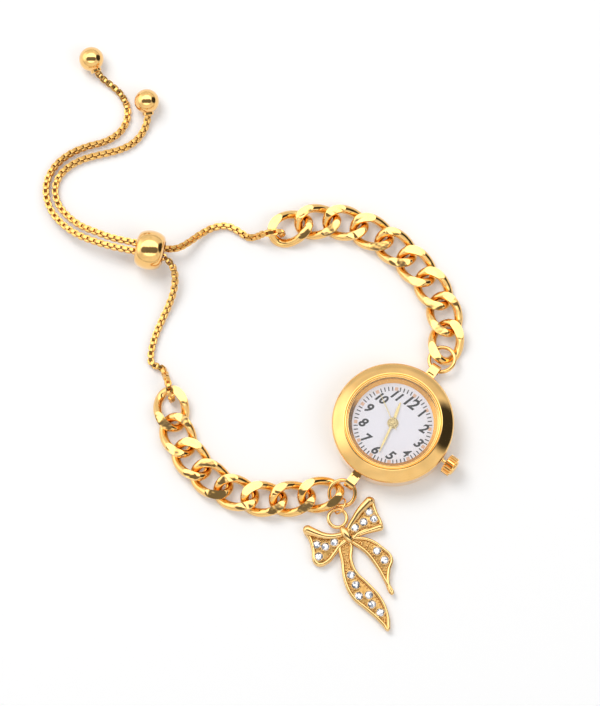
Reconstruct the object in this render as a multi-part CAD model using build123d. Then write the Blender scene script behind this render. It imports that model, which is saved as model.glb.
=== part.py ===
from build123d import *
import math
import os

# A lady's bracelet watch, lying flat with its slider clasp drawn up.
# The origin is the middle of the case back, on the surface that the watch lies on.
# +Z is up through the dial, +Y points to 12 o'clock and +X to the crown. Millimetres.

# Shared clearances and overruns
press_gap = 0.01
running_gap = 0.03
loose_gap = 0.15
overrun = 1.0

# Case
case_radius = 12.2
case_wall = 2.1
case_bore_radius = case_radius - case_wall
case_foot_inset = 0.8
case_foot_radius = case_radius - case_foot_inset
case_foot_height = 0.35
case_curve_height = 1.6
back_seat_width = 1.4
back_radius = case_radius - back_seat_width
back_thickness = 0.9
back_bevel_width = 0.9
back_face_radius = back_radius - back_bevel_width
back_edge_height = 0.4
back_lip_width = 0.6
back_lip_height = 0.35
case_ledge_height = 1.25
case_top = 5.0

# Bezel and crystal
bezel_rim_height = 0.3
bezel_slope_width = 2.4
bezel_crest_radius = case_radius - bezel_slope_width
bezel_step = 0.1
bezel_step_width = 0.3
bezel_step_radius = bezel_crest_radius - bezel_step_width
crystal_seat_inset = 0.25
crystal_seat_radius = bezel_step_radius - crystal_seat_inset
crystal_seat_rise = 1.03
crystal_seat_height = case_top + crystal_seat_rise
bezel_crest_rise = 0.97
bezel_crest_height = crystal_seat_height + bezel_crest_rise
bezel_ledge_width = 0.35
bezel_ledge_radius = crystal_seat_radius - bezel_ledge_width
bezel_ledge_thickness = 0.38
crystal_gasket_width = 0.25
crystal_radius = crystal_seat_radius - crystal_gasket_width
crystal_thickness = 0.85
crystal_dome = 0.15
crystal_edge = 0.12

# Dial and the sloping ring round it
dial_thickness = 0.4
dial_gap = 0.2
dial_radius = case_bore_radius - dial_gap
dial_ring_gap = 0.25
dial_ring_radius = case_bore_radius - dial_ring_gap
dial_ring_height = 0.6
dial_ring_top_radius = bezel_ledge_radius
dial_ring_slope_width = 0.75
dial_visible_radius = dial_ring_top_radius - dial_ring_slope_width

# Lugs: a folded strap at 12 and at 6 o'clock with a cross hole for the jump ring
lug_width = 1.9
lug_reach = 2.1
lug_hole_reach = case_radius + lug_reach
lug_hole_height = 1.6
lug_hole_radius = 0.8
lug_end_radius = 1.15
lug_root_depth = 0.6
lug_root_reach = case_radius - lug_root_depth
lug_slot_width = 1.3
lug_slot_length = 1.0
lug_slot_floor = 1.95

# Crown, its stem and its tube
crown_height = 3.3
crown_radius = 2.05
crown_gap = 0.9
crown_start = case_radius + crown_gap
crown_length = 1.9
crown_dome = 0.5
crown_edge = 0.2
crown_groove_count = 22
crown_groove_radius = 0.2
stem_radius = 0.35
stem_neck_radius = 0.22
stem_neck_offset = 0.8
stem_neck_length = 0.8
tube_radius = 0.75
tube_start_depth = 0.2
tube_start = case_bore_radius + tube_start_depth
tube_end_reach = 0.05
tube_end = case_radius + tube_end_reach
crown_gasket_radius = 0.8
crown_gasket_length = 0.4

# Movement: plate, bridge, holder and the electric parts
holder_case_gap = 0.1
holder_radius = case_bore_radius - holder_case_gap
holder_width = 1.8
plate_radius = holder_radius - holder_width
stem_depth = 2.8
stem_inner_end = plate_radius - stem_depth
stem_neck_start = stem_inner_end + stem_neck_offset
plate_bottom = 3.3
plate_thickness = 0.7
plate_rim_width = 0.5
stem_slot_width = 1.1
holder_wall_gap = 0.05
holder_bottom = 1.3
bridge_bottom = 1.9
bridge_thickness = 0.2
bridge_radius = 0.56098 * plate_radius
bridge_x = 0.12195 * plate_radius
bridge_y = 0.03659 * plate_radius
pillar_radius = 0.05488 * plate_radius
pillars = [(0.61 * plate_radius, 0.232 * plate_radius), (-0.244 * plate_radius, 0.354 * plate_radius),
           (-0.049 * plate_radius, -0.402 * plate_radius)]
board_bottom = 1.45
board_thickness = 0.2
board_screw_radius = 0.04878 * plate_radius
battery_radius = 0.35366 * plate_radius
battery_bottom = 1.35
battery_height = 1.9
battery_reach = 0.62195 * plate_radius
battery_angle = 215
battery_cap_radius = 0.28049 * plate_radius
battery_cap_height = 0.25
strap_length = 0.75610 * plate_radius
strap_width = 0.19512 * plate_radius
strap_thickness = 0.15
strap_tab_length = 0.07317 * plate_radius
coil_reach = 0.85366 * plate_radius
coil_angle = -45
coil_radius = 0.7
coil_half_length = 0.23171 * plate_radius
coil_height = 2.45
coil_core_radius = 0.3
coil_core_half_length = 0.40244 * plate_radius
coil_flange_radius = 0.78
coil_flange_thickness = 0.15
stator_bottom = 2.76
stator_thickness = 0.2
stator_radius = 0.15854 * plate_radius
stator_bore_radius = 0.09146 * plate_radius
stator_arm_width = 0.07317 * plate_radius

# Wheel train
wheel_thickness = 0.12
pinion_thickness = 0.25
arbor_radius = 0.01829 * plate_radius
pivot_radius = 0.01220 * plate_radius
seconds_step_module = 0.01220 * plate_radius
rotor_module = 0.00854 * plate_radius
third_module = 0.00854 * plate_radius
centre_module = 0.00806 * plate_radius
motion_module = 0.00976 * plate_radius
hour_module = 0.00937 * plate_radius
third_angle = 60
step_angle = 300
rotor_angle = 320
minute_wheel_angle = 160
seconds_wheel_level = 2.3
step_wheel_level = 2.5
third_wheel_level = 2.72
centre_wheel_level = 3.0
hour_wheel_level = 4.15
minute_wheel_level = 4.38
rotor_magnet_radius = 0.06707 * plate_radius
rotor_magnet_height = 0.4
centre_pipe_bore = 0.02439 * plate_radius
centre_pipe_radius = 0.05122 * plate_radius
hour_pipe_bore = 0.05732 * plate_radius
hour_pipe_radius = 0.08780 * plate_radius
dial_hole_gap = 0.13
dial_hole_radius = hour_pipe_radius + dial_hole_gap
spoke_hole_share = 0.3

# Hands
hour_hand_level = 5.14
minute_hand_level = 5.38
second_hand_level = 5.6
hand_thickness = 0.12
hour_hand_short_of_edge = 3.75
hour_hand_length = dial_visible_radius - hour_hand_short_of_edge
hour_hand_width = 0.6
hour_boss_radius = 1.07
minute_hand_short_of_edge = 1.65
minute_hand_length = dial_visible_radius - minute_hand_short_of_edge
minute_hand_width = 0.45
minute_boss_radius = 0.85
second_hand_short_of_edge = 1.75
second_hand_length = dial_visible_radius - second_hand_short_of_edge
second_hand_width = 0.2
second_hand_tail = 1.6
second_boss_radius = 0.45
boss_height = 0.2
hour_hand_turn = 344
minute_hand_turn = 169
second_hand_turn = 301

# Curb chain links: a twisted oval of round wire, ground flat on both faces
link_half_length = 3.9
link_half_width = 2.75
link_twist_rise = 1.1
link_wire_radius = 0.9
link_half_thickness = 1.45
link_pitch = 5.7
link_bends = 8
upper_start_reach = 6.0
upper_start = (-1.5, lug_hole_reach + upper_start_reach)
upper_headings = [118, 140, 158, 168, 177, 188, 203, 221, 238]
lower_start_reach = 5.25
lower_start = (-3.54, -lug_hole_reach - lower_start_reach)
lower_headings = [228, 222, 212, 196, 178, 163, 148, 132]

# Jump rings between the lugs and the curb chain
ring_wire_radius = 0.425
ring_radius = 2.575
upper_ring_roll = -12.2
upper_ring_pitch = -0.5
upper_ring_yaw = 0.5
lower_ring_roll = -8.5
lower_ring_pitch = -7.78
lower_ring_yaw = -5.27
lower_ring_lift = 0.138

# Box chain and its end balls
box_chain_width = 1.6
arc_share = 0.45
straight_angle = 1.0
ball_radius = 2.5
ball_long = (-79.1, 24.9)
ball_tail = (-93.3, 25.4)

# Where a strand passes over a link's end wire: reach from the wire, and height
hook_rise = 2.55
hook_far = 4.9
hook_foot = 3.1
hook_foot_height = 1.25
hook_side = 2.05
hook_shoulder = 3.45
hook_end = 2.0
hook_end_height = 1.15
chain_low = 0.8
upper_hook_heading = 222
lower_hook_heading = 141

# Slider bead, drawn over both strands of box chain
bead_x = -60.2
bead_y = 0.24
bead_height = 4.0
bead_heading = 24
bead_radius = 4.0
bead_half_length = 2.8
bead_mouth_radius = 2.75
bead_edge_radius = 3.2
liner_radius = 2.1
strand_offset = 0.86
liner_bore_radius = 0.87

# Routes of the box chain, each point placed by hand along the photographed course
long_route = [
    (-77.9, 24.0, 2.3),
    (-76.7, 21.9, 1.3),
    (-76.1, 19.3, 0.8),
    (-76.4, 16.4, 0.8),
    (-77.9, 13.7, 0.8),
    (-79.9, 11.3, 0.8),
    (-81.9, 8.8, 0.8),
    (-83.4, 5.9, 0.8),
    (-83.9, 2.6, 0.8),
    (-82.8, -0.3, 0.85),
    (-80.4, -2.5, 1.2),
    (-77.4, -3.6, 1.9),
    (-74.2, -3.7, 2.8),
    (-71.1, -3.0, 3.6),
    (-68.0, -2.29, 4.0),
    (-64.6, -0.78, 4.0),
    (-61.2, 0.74, 4.0),
    (-57.6, 2.34, 4.0),
    (-55.8, 4.0, 3.5),
    (-55.0, 6.5, 2.5),
    (-54.3, 9.3, 1.5),
    (-53.2, 12.0, 0.9),
    (-51.2, 14.0, 0.8),
    (-48.7, 14.4, 0.8),
]
tail_route = [
    (-91.9, 24.3, 2.3),
    (-89.7, 23.6, 1.3),
    (-87.1, 23.7, 0.8),
    (-84.3, 23.4, 0.8),
    (-81.6, 22.0, 0.8),
    (-80.0, 19.4, 0.8),
    (-79.9, 16.3, 0.8),
    (-81.2, 13.4, 0.8),
    (-83.3, 10.9, 0.8),
    (-85.2, 7.8, 0.8),
    (-86.2, 4.3, 0.8),
    (-85.9, 0.8, 0.85),
    (-84.1, -2.4, 1.1),
    (-81.1, -4.6, 1.6),
    (-77.7, -5.6, 2.3),
    (-74.2, -5.7, 3.1),
    (-70.8, -5.0, 3.7),
    (-67.3, -3.86, 4.0),
    (-63.9, -2.35, 4.0),
    (-60.6, -0.87, 4.0),
    (-57.28, 0.6, 4.0),
]
short_route = [
    (-56.78, 0.83, 4.0),
    (-54.9, 0.6, 3.75),
    (-53.0, -0.9, 3.0),
    (-51.6, -3.4, 2.0),
    (-50.8, -6.3, 1.2),
    (-50.2, -9.4, 0.8),
    (-49.5, -12.5, 0.8),
    (-48.3, -15.6, 0.8),
    (-46.7, -18.2, 0.8),
]

# Bow charm, drawn in its own plane: x to the right and y up across the photographed bow
charm_x = 5.36
charm_reach = 8.89
charm_y = -lug_hole_reach - charm_reach
charm_turn = 36
charm_thickness = 1.5
charm_floor = 0.2
rim_height = 0.35
rim_width = 0.5
knot_length = 4.2
knot_width = 1.9
knot_turn = -58
knot_height = 2.5
eye_x = -1.73
eye_y = 3.33
eye_radius = 1.82
eye_wire_radius = 0.375
eye_height = 1.27
left_loop = [
    (0.4, 0.9),
    (-1.6, 0.0),
    (-3.5, -0.2),
    (-5.6, 0.4),
    (-7.9, 1.75),
    (-8.55, 1.1),
    (-7.5, -1.1),
    (-6.9, -3.3),
    (-6.6, -5.5),
    (-5.4, -6.4),
    (-3.6, -5.8),
    (-2.0, -4.0),
    (-1.1, -2.7),
    (0.4, -1.3),
]
right_loop = [
    (0.1, 1.4),
    (1.0, 3.0),
    (2.5, 5.4),
    (4.3, 7.6),
    (5.4, 7.5),
    (5.7, 6.4),
    (6.3, 4.5),
    (7.3, 2.3),
    (7.2, 1.2),
    (5.9, 0.9),
    (4.0, 0.5),
    (2.4, -0.3),
    (1.0, -1.0),
]
long_tail = [
    (-0.9, -1.2),
    (1.0, -1.6),
    (1.3, -5.0),
    (2.2, -7.4),
    (4.4, -9.6),
    (7.0, -12.6),
    (8.5, -16.0),
    (8.6, -19.2),
    (8.1, -20.1),
    (6.0, -17.4),
    (3.6, -15.0),
    (1.2, -12.9),
    (-0.4, -9.8),
    (-1.0, -6.0),
]
short_tail = [
    (-0.8, -0.4),
    (1.6, -0.3),
    (4.6, -0.7),
    (7.4, -2.4),
    (9.6, -4.6),
    (9.2, -7.4),
    (9.0, -10.0),
    (9.8, -12.4),
    (9.0, -12.4),
    (7.6, -9.6),
    (5.8, -6.4),
    (3.6, -3.6),
    (1.2, -1.9),
]
stone_radius = 0.8
stone_height = 0.75
stone_table_share = 0.6
stone_seat_depth = 0.45
stone_places = [
    (-5.85, -2.0),
    (-4.16, -2.44),
    (-2.38, -1.55),
    (-5.46, -4.43),
    (1.73, 1.44),
    (3.47, 2.55),
    (4.55, 4.66),
    (5.53, 3.21),
    (0.93, -8.16),
    (1.89, -10.15),
    (2.49, -12.42),
    (4.51, -12.19),
    (5.09, -14.08),
    (6.76, -15.74),
    (6.11, -3.28),
    (7.63, -5.14),
]

# Small ring that carries the charm
charm_ring_radius = 1.65
charm_ring_wire_radius = 0.22
charm_ring_x = 1.07
charm_ring_reach = 4.975
charm_ring_y = -lug_hole_reach - charm_ring_reach
charm_ring_height = 1.68
charm_ring_heading = -76.5
charm_ring_lean = -28.5


def save(name, shape):
    """Write one piece of the watch as its own file."""
    export_step(shape, f"parts/{name}.step")


def turned(points):
    """A solid of revolution about the dial's axis, from radius and height pairs."""
    outline = Polyline([(radius, 0, height) for radius, height in points], close=True)
    return revolve(make_face(outline), axis=Axis.Z)


def ring_solid(outer, inner, bottom, top):
    """A flat ring, or a disc where the inner radius is zero."""
    disc = Pos(0, 0, (bottom + top) / 2) * Cylinder(outer, top - bottom)
    if inner > 0:
        disc -= Pos(0, 0, (bottom + top) / 2) * Cylinder(inner, top - bottom + 2 * overrun)
    return disc


def rod_x(radius, start, end, height):
    """A round rod along X at the given height."""
    return Pos((start + end) / 2, 0, height) * Rot(Y=90) * Cylinder(radius, end - start)


def polar(reach, angle):
    """A place at the given reach and angle from the middle of the dial."""
    return reach * math.cos(math.radians(angle)), reach * math.sin(math.radians(angle))


# Case, lugs and back


def lug():
    """The folded strap at 12 o'clock, with its cross hole and the gap behind the fold."""
    height = 2 * lug_end_radius
    length = lug_hole_reach - lug_root_reach
    strap = Pos(0, lug_root_reach + length / 2, lug_hole_height) * Box(lug_width, length, height)
    end = Pos(0, lug_hole_reach, lug_hole_height) * Rot(Y=90) * Cylinder(lug_end_radius, lug_width)
    hole = Pos(0, lug_hole_reach, lug_hole_height) * Rot(Y=90)
    hole *= Cylinder(lug_hole_radius, lug_width + 2 * overrun)
    slot_top = lug_hole_height + lug_end_radius + overrun
    slot_depth = slot_top - lug_slot_floor
    slot = Pos(0, case_radius + lug_slot_length / 2, lug_slot_floor + slot_depth / 2)
    slot *= Box(lug_slot_width, lug_slot_length, slot_depth)
    return strap + end - hole - slot


def case_body():
    """The case band with its two lugs and the hole for the crown tube."""
    band = turned([
        (case_bore_radius, case_ledge_height),
        (back_radius + running_gap, case_ledge_height),
        (back_radius + running_gap, case_foot_height),
        (case_foot_radius, case_foot_height),
        (case_radius, case_curve_height),
        (case_radius, case_top),
        (case_bore_radius, case_top),
    ])
    lugs = lug() + Rot(Z=180) * lug()
    lugs -= ring_solid((case_bore_radius + case_radius) / 2, 0, -overrun, case_top)
    band += lugs
    band -= rod_x(tube_radius + press_gap, case_bore_radius - overrun, case_radius + overrun, crown_height)
    return band


def case_back():
    """The snap-on back with a bevelled edge and an inner lip."""
    plate = turned([
        (0, 0),
        (back_face_radius, 0),
        (back_radius, back_edge_height),
        (back_radius, back_thickness),
        (0, back_thickness),
    ])
    lip_radius = case_bore_radius - running_gap
    lip = ring_solid(lip_radius, lip_radius - back_lip_width, back_thickness, back_thickness + back_lip_height)
    return plate + lip


def back_gasket():
    """The flat seal between the back and the case's ledge."""
    top = case_ledge_height - press_gap
    return ring_solid(back_radius, case_bore_radius + press_gap, back_thickness + press_gap, top)


def bezel():
    """The sloping bezel with two fine steps and the crystal's seat."""
    ledge_bottom = crystal_seat_height - bezel_ledge_thickness
    return turned([
        (case_radius, case_top),
        (case_radius, case_top + bezel_rim_height),
        (bezel_crest_radius, bezel_crest_height),
        (bezel_step_radius, bezel_crest_height - bezel_step),
        (bezel_step_radius, bezel_crest_height - 2 * bezel_step),
        (crystal_seat_radius, bezel_crest_height - 2 * bezel_step),
        (crystal_seat_radius, crystal_seat_height),
        (bezel_ledge_radius, crystal_seat_height),
        (bezel_ledge_radius, ledge_bottom),
        (dial_ring_radius + loose_gap, ledge_bottom),
        (dial_ring_radius + loose_gap, case_top),
    ])


def crystal():
    """The slightly domed glass."""
    bottom = crystal_seat_height + press_gap
    top = bottom + crystal_thickness
    edge = top - crystal_dome
    return turned([
        (0, bottom),
        (crystal_radius, bottom),
        (crystal_radius, edge - crystal_edge),
        (crystal_radius - crystal_edge, edge),
        (0, top),
    ])


def crystal_gasket():
    """The thin seal between the glass and the bezel."""
    bottom = crystal_seat_height + press_gap
    inner = crystal_radius + press_gap
    return ring_solid(crystal_seat_radius - press_gap, inner, bottom, bottom + crystal_thickness - crystal_dome)


def dial():
    """The dial plate with the hole for the hand pipes."""
    return ring_solid(dial_radius, dial_hole_radius, case_top - dial_thickness, case_top)


def dial_ring():
    """The sloping ring round the edge of the dial."""
    bottom = case_top + press_gap
    return turned([
        (dial_ring_radius, bottom),
        (dial_ring_radius, bottom + dial_ring_height),
        (dial_ring_top_radius, bottom + dial_ring_height),
        (dial_visible_radius, bottom),
    ])


# Crown and stem


def crown():
    """The fluted crown, bored for its stem and its seal."""
    body = rod_x(crown_radius, crown_start, crown_start + crown_length, crown_height)
    body = chamfer(body.edges().filter_by(GeomType.CIRCLE), crown_edge)
    dome = rod_x(crown_radius - 2 * crown_edge, crown_start + crown_length,
                 crown_start + crown_length + crown_dome, crown_height)
    body += chamfer(dome.edges().group_by(Axis.X)[-1], crown_edge)
    for index in range(crown_groove_count):
        along, up = polar(crown_radius, index * 360 / crown_groove_count)
        groove = Pos(0, along, up) * rod_x(crown_groove_radius, crown_start - overrun,
                                           crown_start + crown_length, crown_height)
        body -= groove
    bore = rod_x(stem_radius + press_gap, crown_start - overrun, crown_start + crown_length / 2, crown_height)
    seat = rod_x(crown_gasket_radius + running_gap, crown_start - overrun,
                 crown_start + crown_gasket_length, crown_height)
    return body - bore - seat


def setting_stem():
    """The stem from the crown into the movement, with its setting neck."""
    end = crown_start + crown_length / 2 - press_gap
    stem = rod_x(stem_radius, stem_inner_end, end, crown_height)
    neck_end = stem_neck_start + stem_neck_length
    neck = rod_x(stem_radius + overrun, stem_neck_start, neck_end, crown_height)
    neck -= rod_x(stem_neck_radius, stem_neck_start, neck_end, crown_height)
    return stem - neck


def crown_tube():
    """The tube pressed into the case that guides the stem."""
    tube = rod_x(tube_radius, tube_start, tube_end, crown_height)
    return tube - rod_x(stem_radius + running_gap, tube_start - overrun, tube_end + overrun, crown_height)


def crown_gasket():
    """The rubber seal inside the crown, which slides along the stem's line with it."""
    seal = rod_x(crown_gasket_radius, crown_start, crown_start + crown_gasket_length - press_gap, crown_height)
    return seal - rod_x(stem_radius + running_gap, crown_start - overrun, crown_start + overrun, crown_height)


# Movement


def third_place():
    return polar(third_module * (60 + 8) / 2, third_angle)


def step_place():
    return polar(seconds_step_module * (6 + 30) / 2, step_angle)


def rotor_place():
    x, y = step_place()
    along, across = polar(rotor_module * (6 + 36) / 2, rotor_angle)
    return x + along, y + across


def minute_wheel_place():
    return polar(motion_module * (12 + 36) / 2, minute_wheel_angle)


def battery_place():
    return polar(battery_reach, battery_angle)


def main_plate():
    """The plate that carries the train, with a rim under the dial."""
    top = plate_bottom + plate_thickness
    plate = ring_solid(plate_radius, centre_pipe_radius + running_gap, plate_bottom, top)
    rim_top = case_top - dial_thickness
    plate += ring_solid(plate_radius, plate_radius - plate_rim_width, top, rim_top)
    slot_length = plate_radius - stem_inner_end + 2 * overrun
    slot = Pos(plate_radius + overrun - slot_length / 2 + loose_gap, 0, plate_bottom + plate_thickness / 2)
    plate -= slot * Box(slot_length, stem_slot_width, plate_thickness + 2 * overrun)
    pivot = Cylinder(pivot_radius + running_gap, plate_thickness)
    x, y = third_place()
    plate -= Pos(x, y, plate_bottom) * pivot
    x, y = minute_wheel_place()
    plate -= Pos(x, y, top) * pivot
    return plate


def movement_holder():
    """The plastic ring that centres the movement in the case."""
    inner = plate_radius + holder_wall_gap
    holder = ring_solid(holder_radius, inner, holder_bottom, case_top - dial_thickness)
    hole = rod_x(stem_radius + loose_gap, inner - overrun, holder_radius + overrun, crown_height)
    return holder - hole


def train_bridge():
    """The bridge that holds the lower pivots, on three pillars."""
    top = bridge_bottom + bridge_thickness
    bridge = Pos(bridge_x, bridge_y, bridge_bottom + bridge_thickness / 2) * Cylinder(bridge_radius, bridge_thickness)
    x, y = battery_place()
    clearance = battery_radius + loose_gap
    bridge -= Pos(x, y, bridge_bottom) * Cylinder(clearance, 2 * overrun)
    for x, y in pillars:
        length = plate_bottom - top
        bridge += Pos(x, y, top + length / 2) * Cylinder(pillar_radius, length)
    for x, y in [(0, 0), third_place(), step_place(), rotor_place()]:
        bridge -= Pos(x, y, bridge_bottom) * Cylinder(pivot_radius + running_gap, 2 * overrun)
    return bridge


def circuit_board():
    """The printed board under the bridge, cut away round the battery."""
    radius = plate_radius - holder_wall_gap
    board = ring_solid(radius, 0, board_bottom, board_bottom + board_thickness)
    x, y = battery_place()
    board -= Pos(x, y, board_bottom) * Cylinder(battery_radius + loose_gap, 2 * overrun)
    for x, y in pillars:
        length = bridge_bottom - board_bottom - board_thickness
        board += Pos(x, y, board_bottom + board_thickness + length / 2) * Cylinder(board_screw_radius, length)
    return board


def coil():
    """The drive coil: its winding, two flanges and the iron core."""
    winding = Cylinder(coil_radius, 2 * coil_half_length)
    core = Cylinder(coil_core_radius, 2 * coil_core_half_length)
    flange_place = coil_half_length + coil_flange_thickness / 2
    flange = Cylinder(coil_flange_radius, coil_flange_thickness)
    whole = winding + core + Pos(0, 0, flange_place) * flange + Pos(0, 0, -flange_place) * flange
    x, y = polar(coil_reach, coil_angle)
    return Pos(x, y, coil_height) * Rot(Z=coil_angle) * Rot(X=90) * whole


def stator():
    """The iron plate round the rotor, with an arm to each end of the coil's core."""
    middle = stator_bottom + stator_thickness / 2
    x, y = rotor_place()
    plate = Pos(x, y, middle) * Cylinder(stator_radius, stator_thickness)
    coil_x, coil_y = polar(coil_reach, coil_angle)
    for side in (-1, 1):
        along, across = polar(side * (coil_core_half_length - coil_core_radius), coil_angle + 90)
        end_x = coil_x + along
        end_y = coil_y + across
        length = math.hypot(end_x - x, end_y - y)
        turn = math.degrees(math.atan2(end_y - y, end_x - x))
        arm = Box(length, stator_arm_width, stator_thickness)
        plate += Pos((x + end_x) / 2, (y + end_y) / 2, middle) * Rot(Z=turn) * arm
        plate += Pos(end_x, end_y, middle) * Cylinder(stator_arm_width / 2, stator_thickness)
    return plate - Pos(x, y, middle) * Cylinder(stator_bore_radius, stator_thickness + overrun)


def battery():
    """The button cell with its raised cap."""
    x, y = battery_place()
    top = battery_bottom + battery_height
    cell = Pos(x, y, (battery_bottom + battery_cap_height + top) / 2)
    cell *= Cylinder(battery_radius, battery_height - battery_cap_height)
    cap = Pos(x, y, battery_bottom + battery_cap_height / 2) * Cylinder(battery_cap_radius, battery_cap_height)
    return cell + cap


def battery_strap():
    """The spring strap under the battery, bent up to the board at its inner end."""
    bottom = battery_bottom - strap_thickness - press_gap
    x, y = battery_place()
    strap = Box(strap_length, strap_width, strap_thickness)
    tab_height = board_bottom - press_gap - bottom - strap_thickness
    tab = Pos(-strap_length / 2 + strap_tab_length / 2, 0, (strap_thickness + tab_height) / 2)
    tab *= Box(strap_tab_length, strap_width, tab_height)
    whole = strap + tab
    return Pos(x, y, bottom + strap_thickness / 2) * Rot(Z=battery_angle) * whole


def gear(teeth, module, thickness):
    """A toothed disc standing on its own bottom face."""
    pitch_radius = teeth * module / 2
    root = pitch_radius - 1.2 * module
    tip = pitch_radius + module
    points = []
    for index in range(teeth):
        for radius, share in ((root, -0.32), (tip, -0.14), (tip, 0.14), (root, 0.32)):
            points.append(polar(radius, (index + share) * 360 / teeth))
    return extrude(make_face(Polyline(points, close=True)), thickness)


def wheel(teeth, module, level, place):
    """A wheel with four lightening holes at its level and place."""
    disc = gear(teeth, module, wheel_thickness)
    radius = teeth * module / 2
    for index in range(4):
        x, y = polar(radius / 2, index * 90 + 45)
        disc -= Pos(x, y, wheel_thickness / 2) * Cylinder(radius * spoke_hole_share / 2, 2 * wheel_thickness)
    return Pos(place[0], place[1], level) * disc


def arbor(radius, bottom, top, place):
    """A round arbor between two levels."""
    return Pos(place[0], place[1], (bottom + top) / 2) * Cylinder(radius, top - bottom)


def seconds_wheel():
    """The fourth wheel, whose arbor carries the second hand."""
    top = second_hand_level + hand_thickness
    pinion = Pos(0, 0, third_wheel_level - wheel_thickness / 2) * gear(8, third_module, pinion_thickness)
    shape = wheel(30, seconds_step_module, seconds_wheel_level, (0, 0)) + pinion
    shape += arbor(arbor_radius, bridge_bottom + bridge_thickness, top, (0, 0))
    return shape + arbor(pivot_radius, bridge_bottom, bridge_bottom + bridge_thickness, (0, 0))


def step_wheel():
    """The wheel between the rotor and the seconds wheel."""
    place = step_place()
    shape = wheel(36, rotor_module, step_wheel_level, place)
    pinion_level = seconds_wheel_level - wheel_thickness / 2
    shape += Pos(place[0], place[1], pinion_level) * gear(6, seconds_step_module, pinion_thickness)
    shape += arbor(pivot_radius, bridge_bottom, centre_wheel_level - loose_gap, place)
    return shape


def rotor():
    """The magnet rotor with its pinion."""
    place = rotor_place()
    pinion_level = step_wheel_level - wheel_thickness / 2
    shape = Pos(place[0], place[1], pinion_level) * gear(6, rotor_module, pinion_thickness)
    shape += arbor(pivot_radius, bridge_bottom, plate_bottom - press_gap, place)
    middle = stator_bottom + stator_thickness / 2
    magnet_bottom = middle - rotor_magnet_height / 2
    return shape + arbor(rotor_magnet_radius, magnet_bottom, magnet_bottom + rotor_magnet_height, place)


def third_wheel():
    """The third wheel and its pinion, pivoted in bridge and plate."""
    place = third_place()
    shape = wheel(60, third_module, third_wheel_level, place)
    pinion_level = centre_wheel_level - wheel_thickness / 2
    shape += Pos(place[0], place[1], pinion_level) * gear(8, centre_module, pinion_thickness)
    top = plate_bottom + plate_thickness / 2 - press_gap
    return shape + arbor(pivot_radius, bridge_bottom, top, place)


def centre_wheel():
    """The minute wheel of the train: its pipe carries the minute hand and the cannon pinion."""
    shape = wheel(64, centre_module, centre_wheel_level, (0, 0))
    top = minute_hand_level + hand_thickness
    shape += arbor(centre_pipe_radius, centre_wheel_level, top, (0, 0))
    pinion_level = minute_wheel_level - wheel_thickness
    pinion = Pos(0, 0, plate_bottom + plate_thickness + running_gap)
    height = hour_wheel_level - plate_bottom - plate_thickness - 2 * running_gap
    shape += pinion * gear(12, motion_module, height)
    bore = arbor(centre_pipe_bore, centre_wheel_level - overrun, pinion_level + 2 * overrun, (0, 0))
    return shape - bore


def minute_wheel():
    """The wheel of the motion works between the cannon pinion and the hour wheel."""
    place = minute_wheel_place()
    bottom = plate_bottom + plate_thickness + running_gap
    shape = wheel(36, motion_module, bottom, place)
    pinion_top = case_top - dial_thickness - running_gap
    height = pinion_top - bottom
    shape += Pos(place[0], place[1], bottom) * gear(10, hour_module, height)
    return shape + arbor(pivot_radius, bottom - plate_thickness / 2 + running_gap, bottom, place)


def hour_wheel():
    """The hour wheel, whose pipe passes the dial and carries the hour hand."""
    shape = wheel(40, hour_module, hour_wheel_level, (0, 0))
    shape += arbor(hour_pipe_radius, hour_wheel_level, hour_hand_level + hand_thickness, (0, 0))
    return shape - arbor(hour_pipe_bore, hour_wheel_level - overrun, hour_hand_level + overrun, (0, 0))


# Hands


def hand(length, width, tail, level, boss, hole, turn):
    """A straight baton hand with a round boss, turned clockwise from 12 o'clock."""
    blade = Pos(0, (length - tail) / 2, level + hand_thickness / 2) * Box(width, length + tail, hand_thickness)
    shape = blade + arbor(boss, level, level + hand_thickness, (0, 0))
    if hole > 0:
        shape -= arbor(hole, level - overrun, level + overrun, (0, 0))
    return Rot(Z=-turn) * shape


def hour_hand():
    return hand(hour_hand_length, hour_hand_width, 0, hour_hand_level, hour_boss_radius,
                hour_pipe_radius + press_gap, hour_hand_turn)


def minute_hand():
    return hand(minute_hand_length, minute_hand_width, 0, minute_hand_level, minute_boss_radius,
                centre_pipe_radius + press_gap, minute_hand_turn)


def second_hand():
    """The thin second hand with a counterweight tail and a cap over its arbor."""
    shape = hand(second_hand_length, second_hand_width, second_hand_tail, second_hand_level,
                 second_boss_radius, arbor_radius + press_gap, second_hand_turn)
    bottom = second_hand_level + hand_thickness
    return shape + arbor(second_boss_radius, bottom, bottom + boss_height, (0, 0))


# Curb chain


def link_point(turn):
    """A point on the twisted oval that a link's wire follows."""
    x = link_half_length * math.cos(turn)
    y = link_half_width * math.sin(turn)
    return Vector(x, y, -link_twist_rise * math.sin(2 * turn))


def link_tangent(turn):
    x = -link_half_length * math.sin(turn)
    y = link_half_width * math.cos(turn)
    return Vector(x, y, -2 * link_twist_rise * math.cos(2 * turn)).normalized()


def wire_bend(start, tangent, end, radius):
    """A bent round bar from start to end, leaving start along the tangent."""
    chord = end - start
    normal = tangent.cross(chord).normalized()
    half_turn = math.radians(tangent.get_angle(chord))
    bend_radius = chord.length / (2 * math.sin(half_turn))
    centre = start + normal.cross(tangent) * bend_radius
    face = Plane(origin=start, z_dir=tangent) * Circle(radius)
    return revolve(face, axis=Axis(centre, normal), revolution_arc=math.degrees(2 * half_turn))


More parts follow.
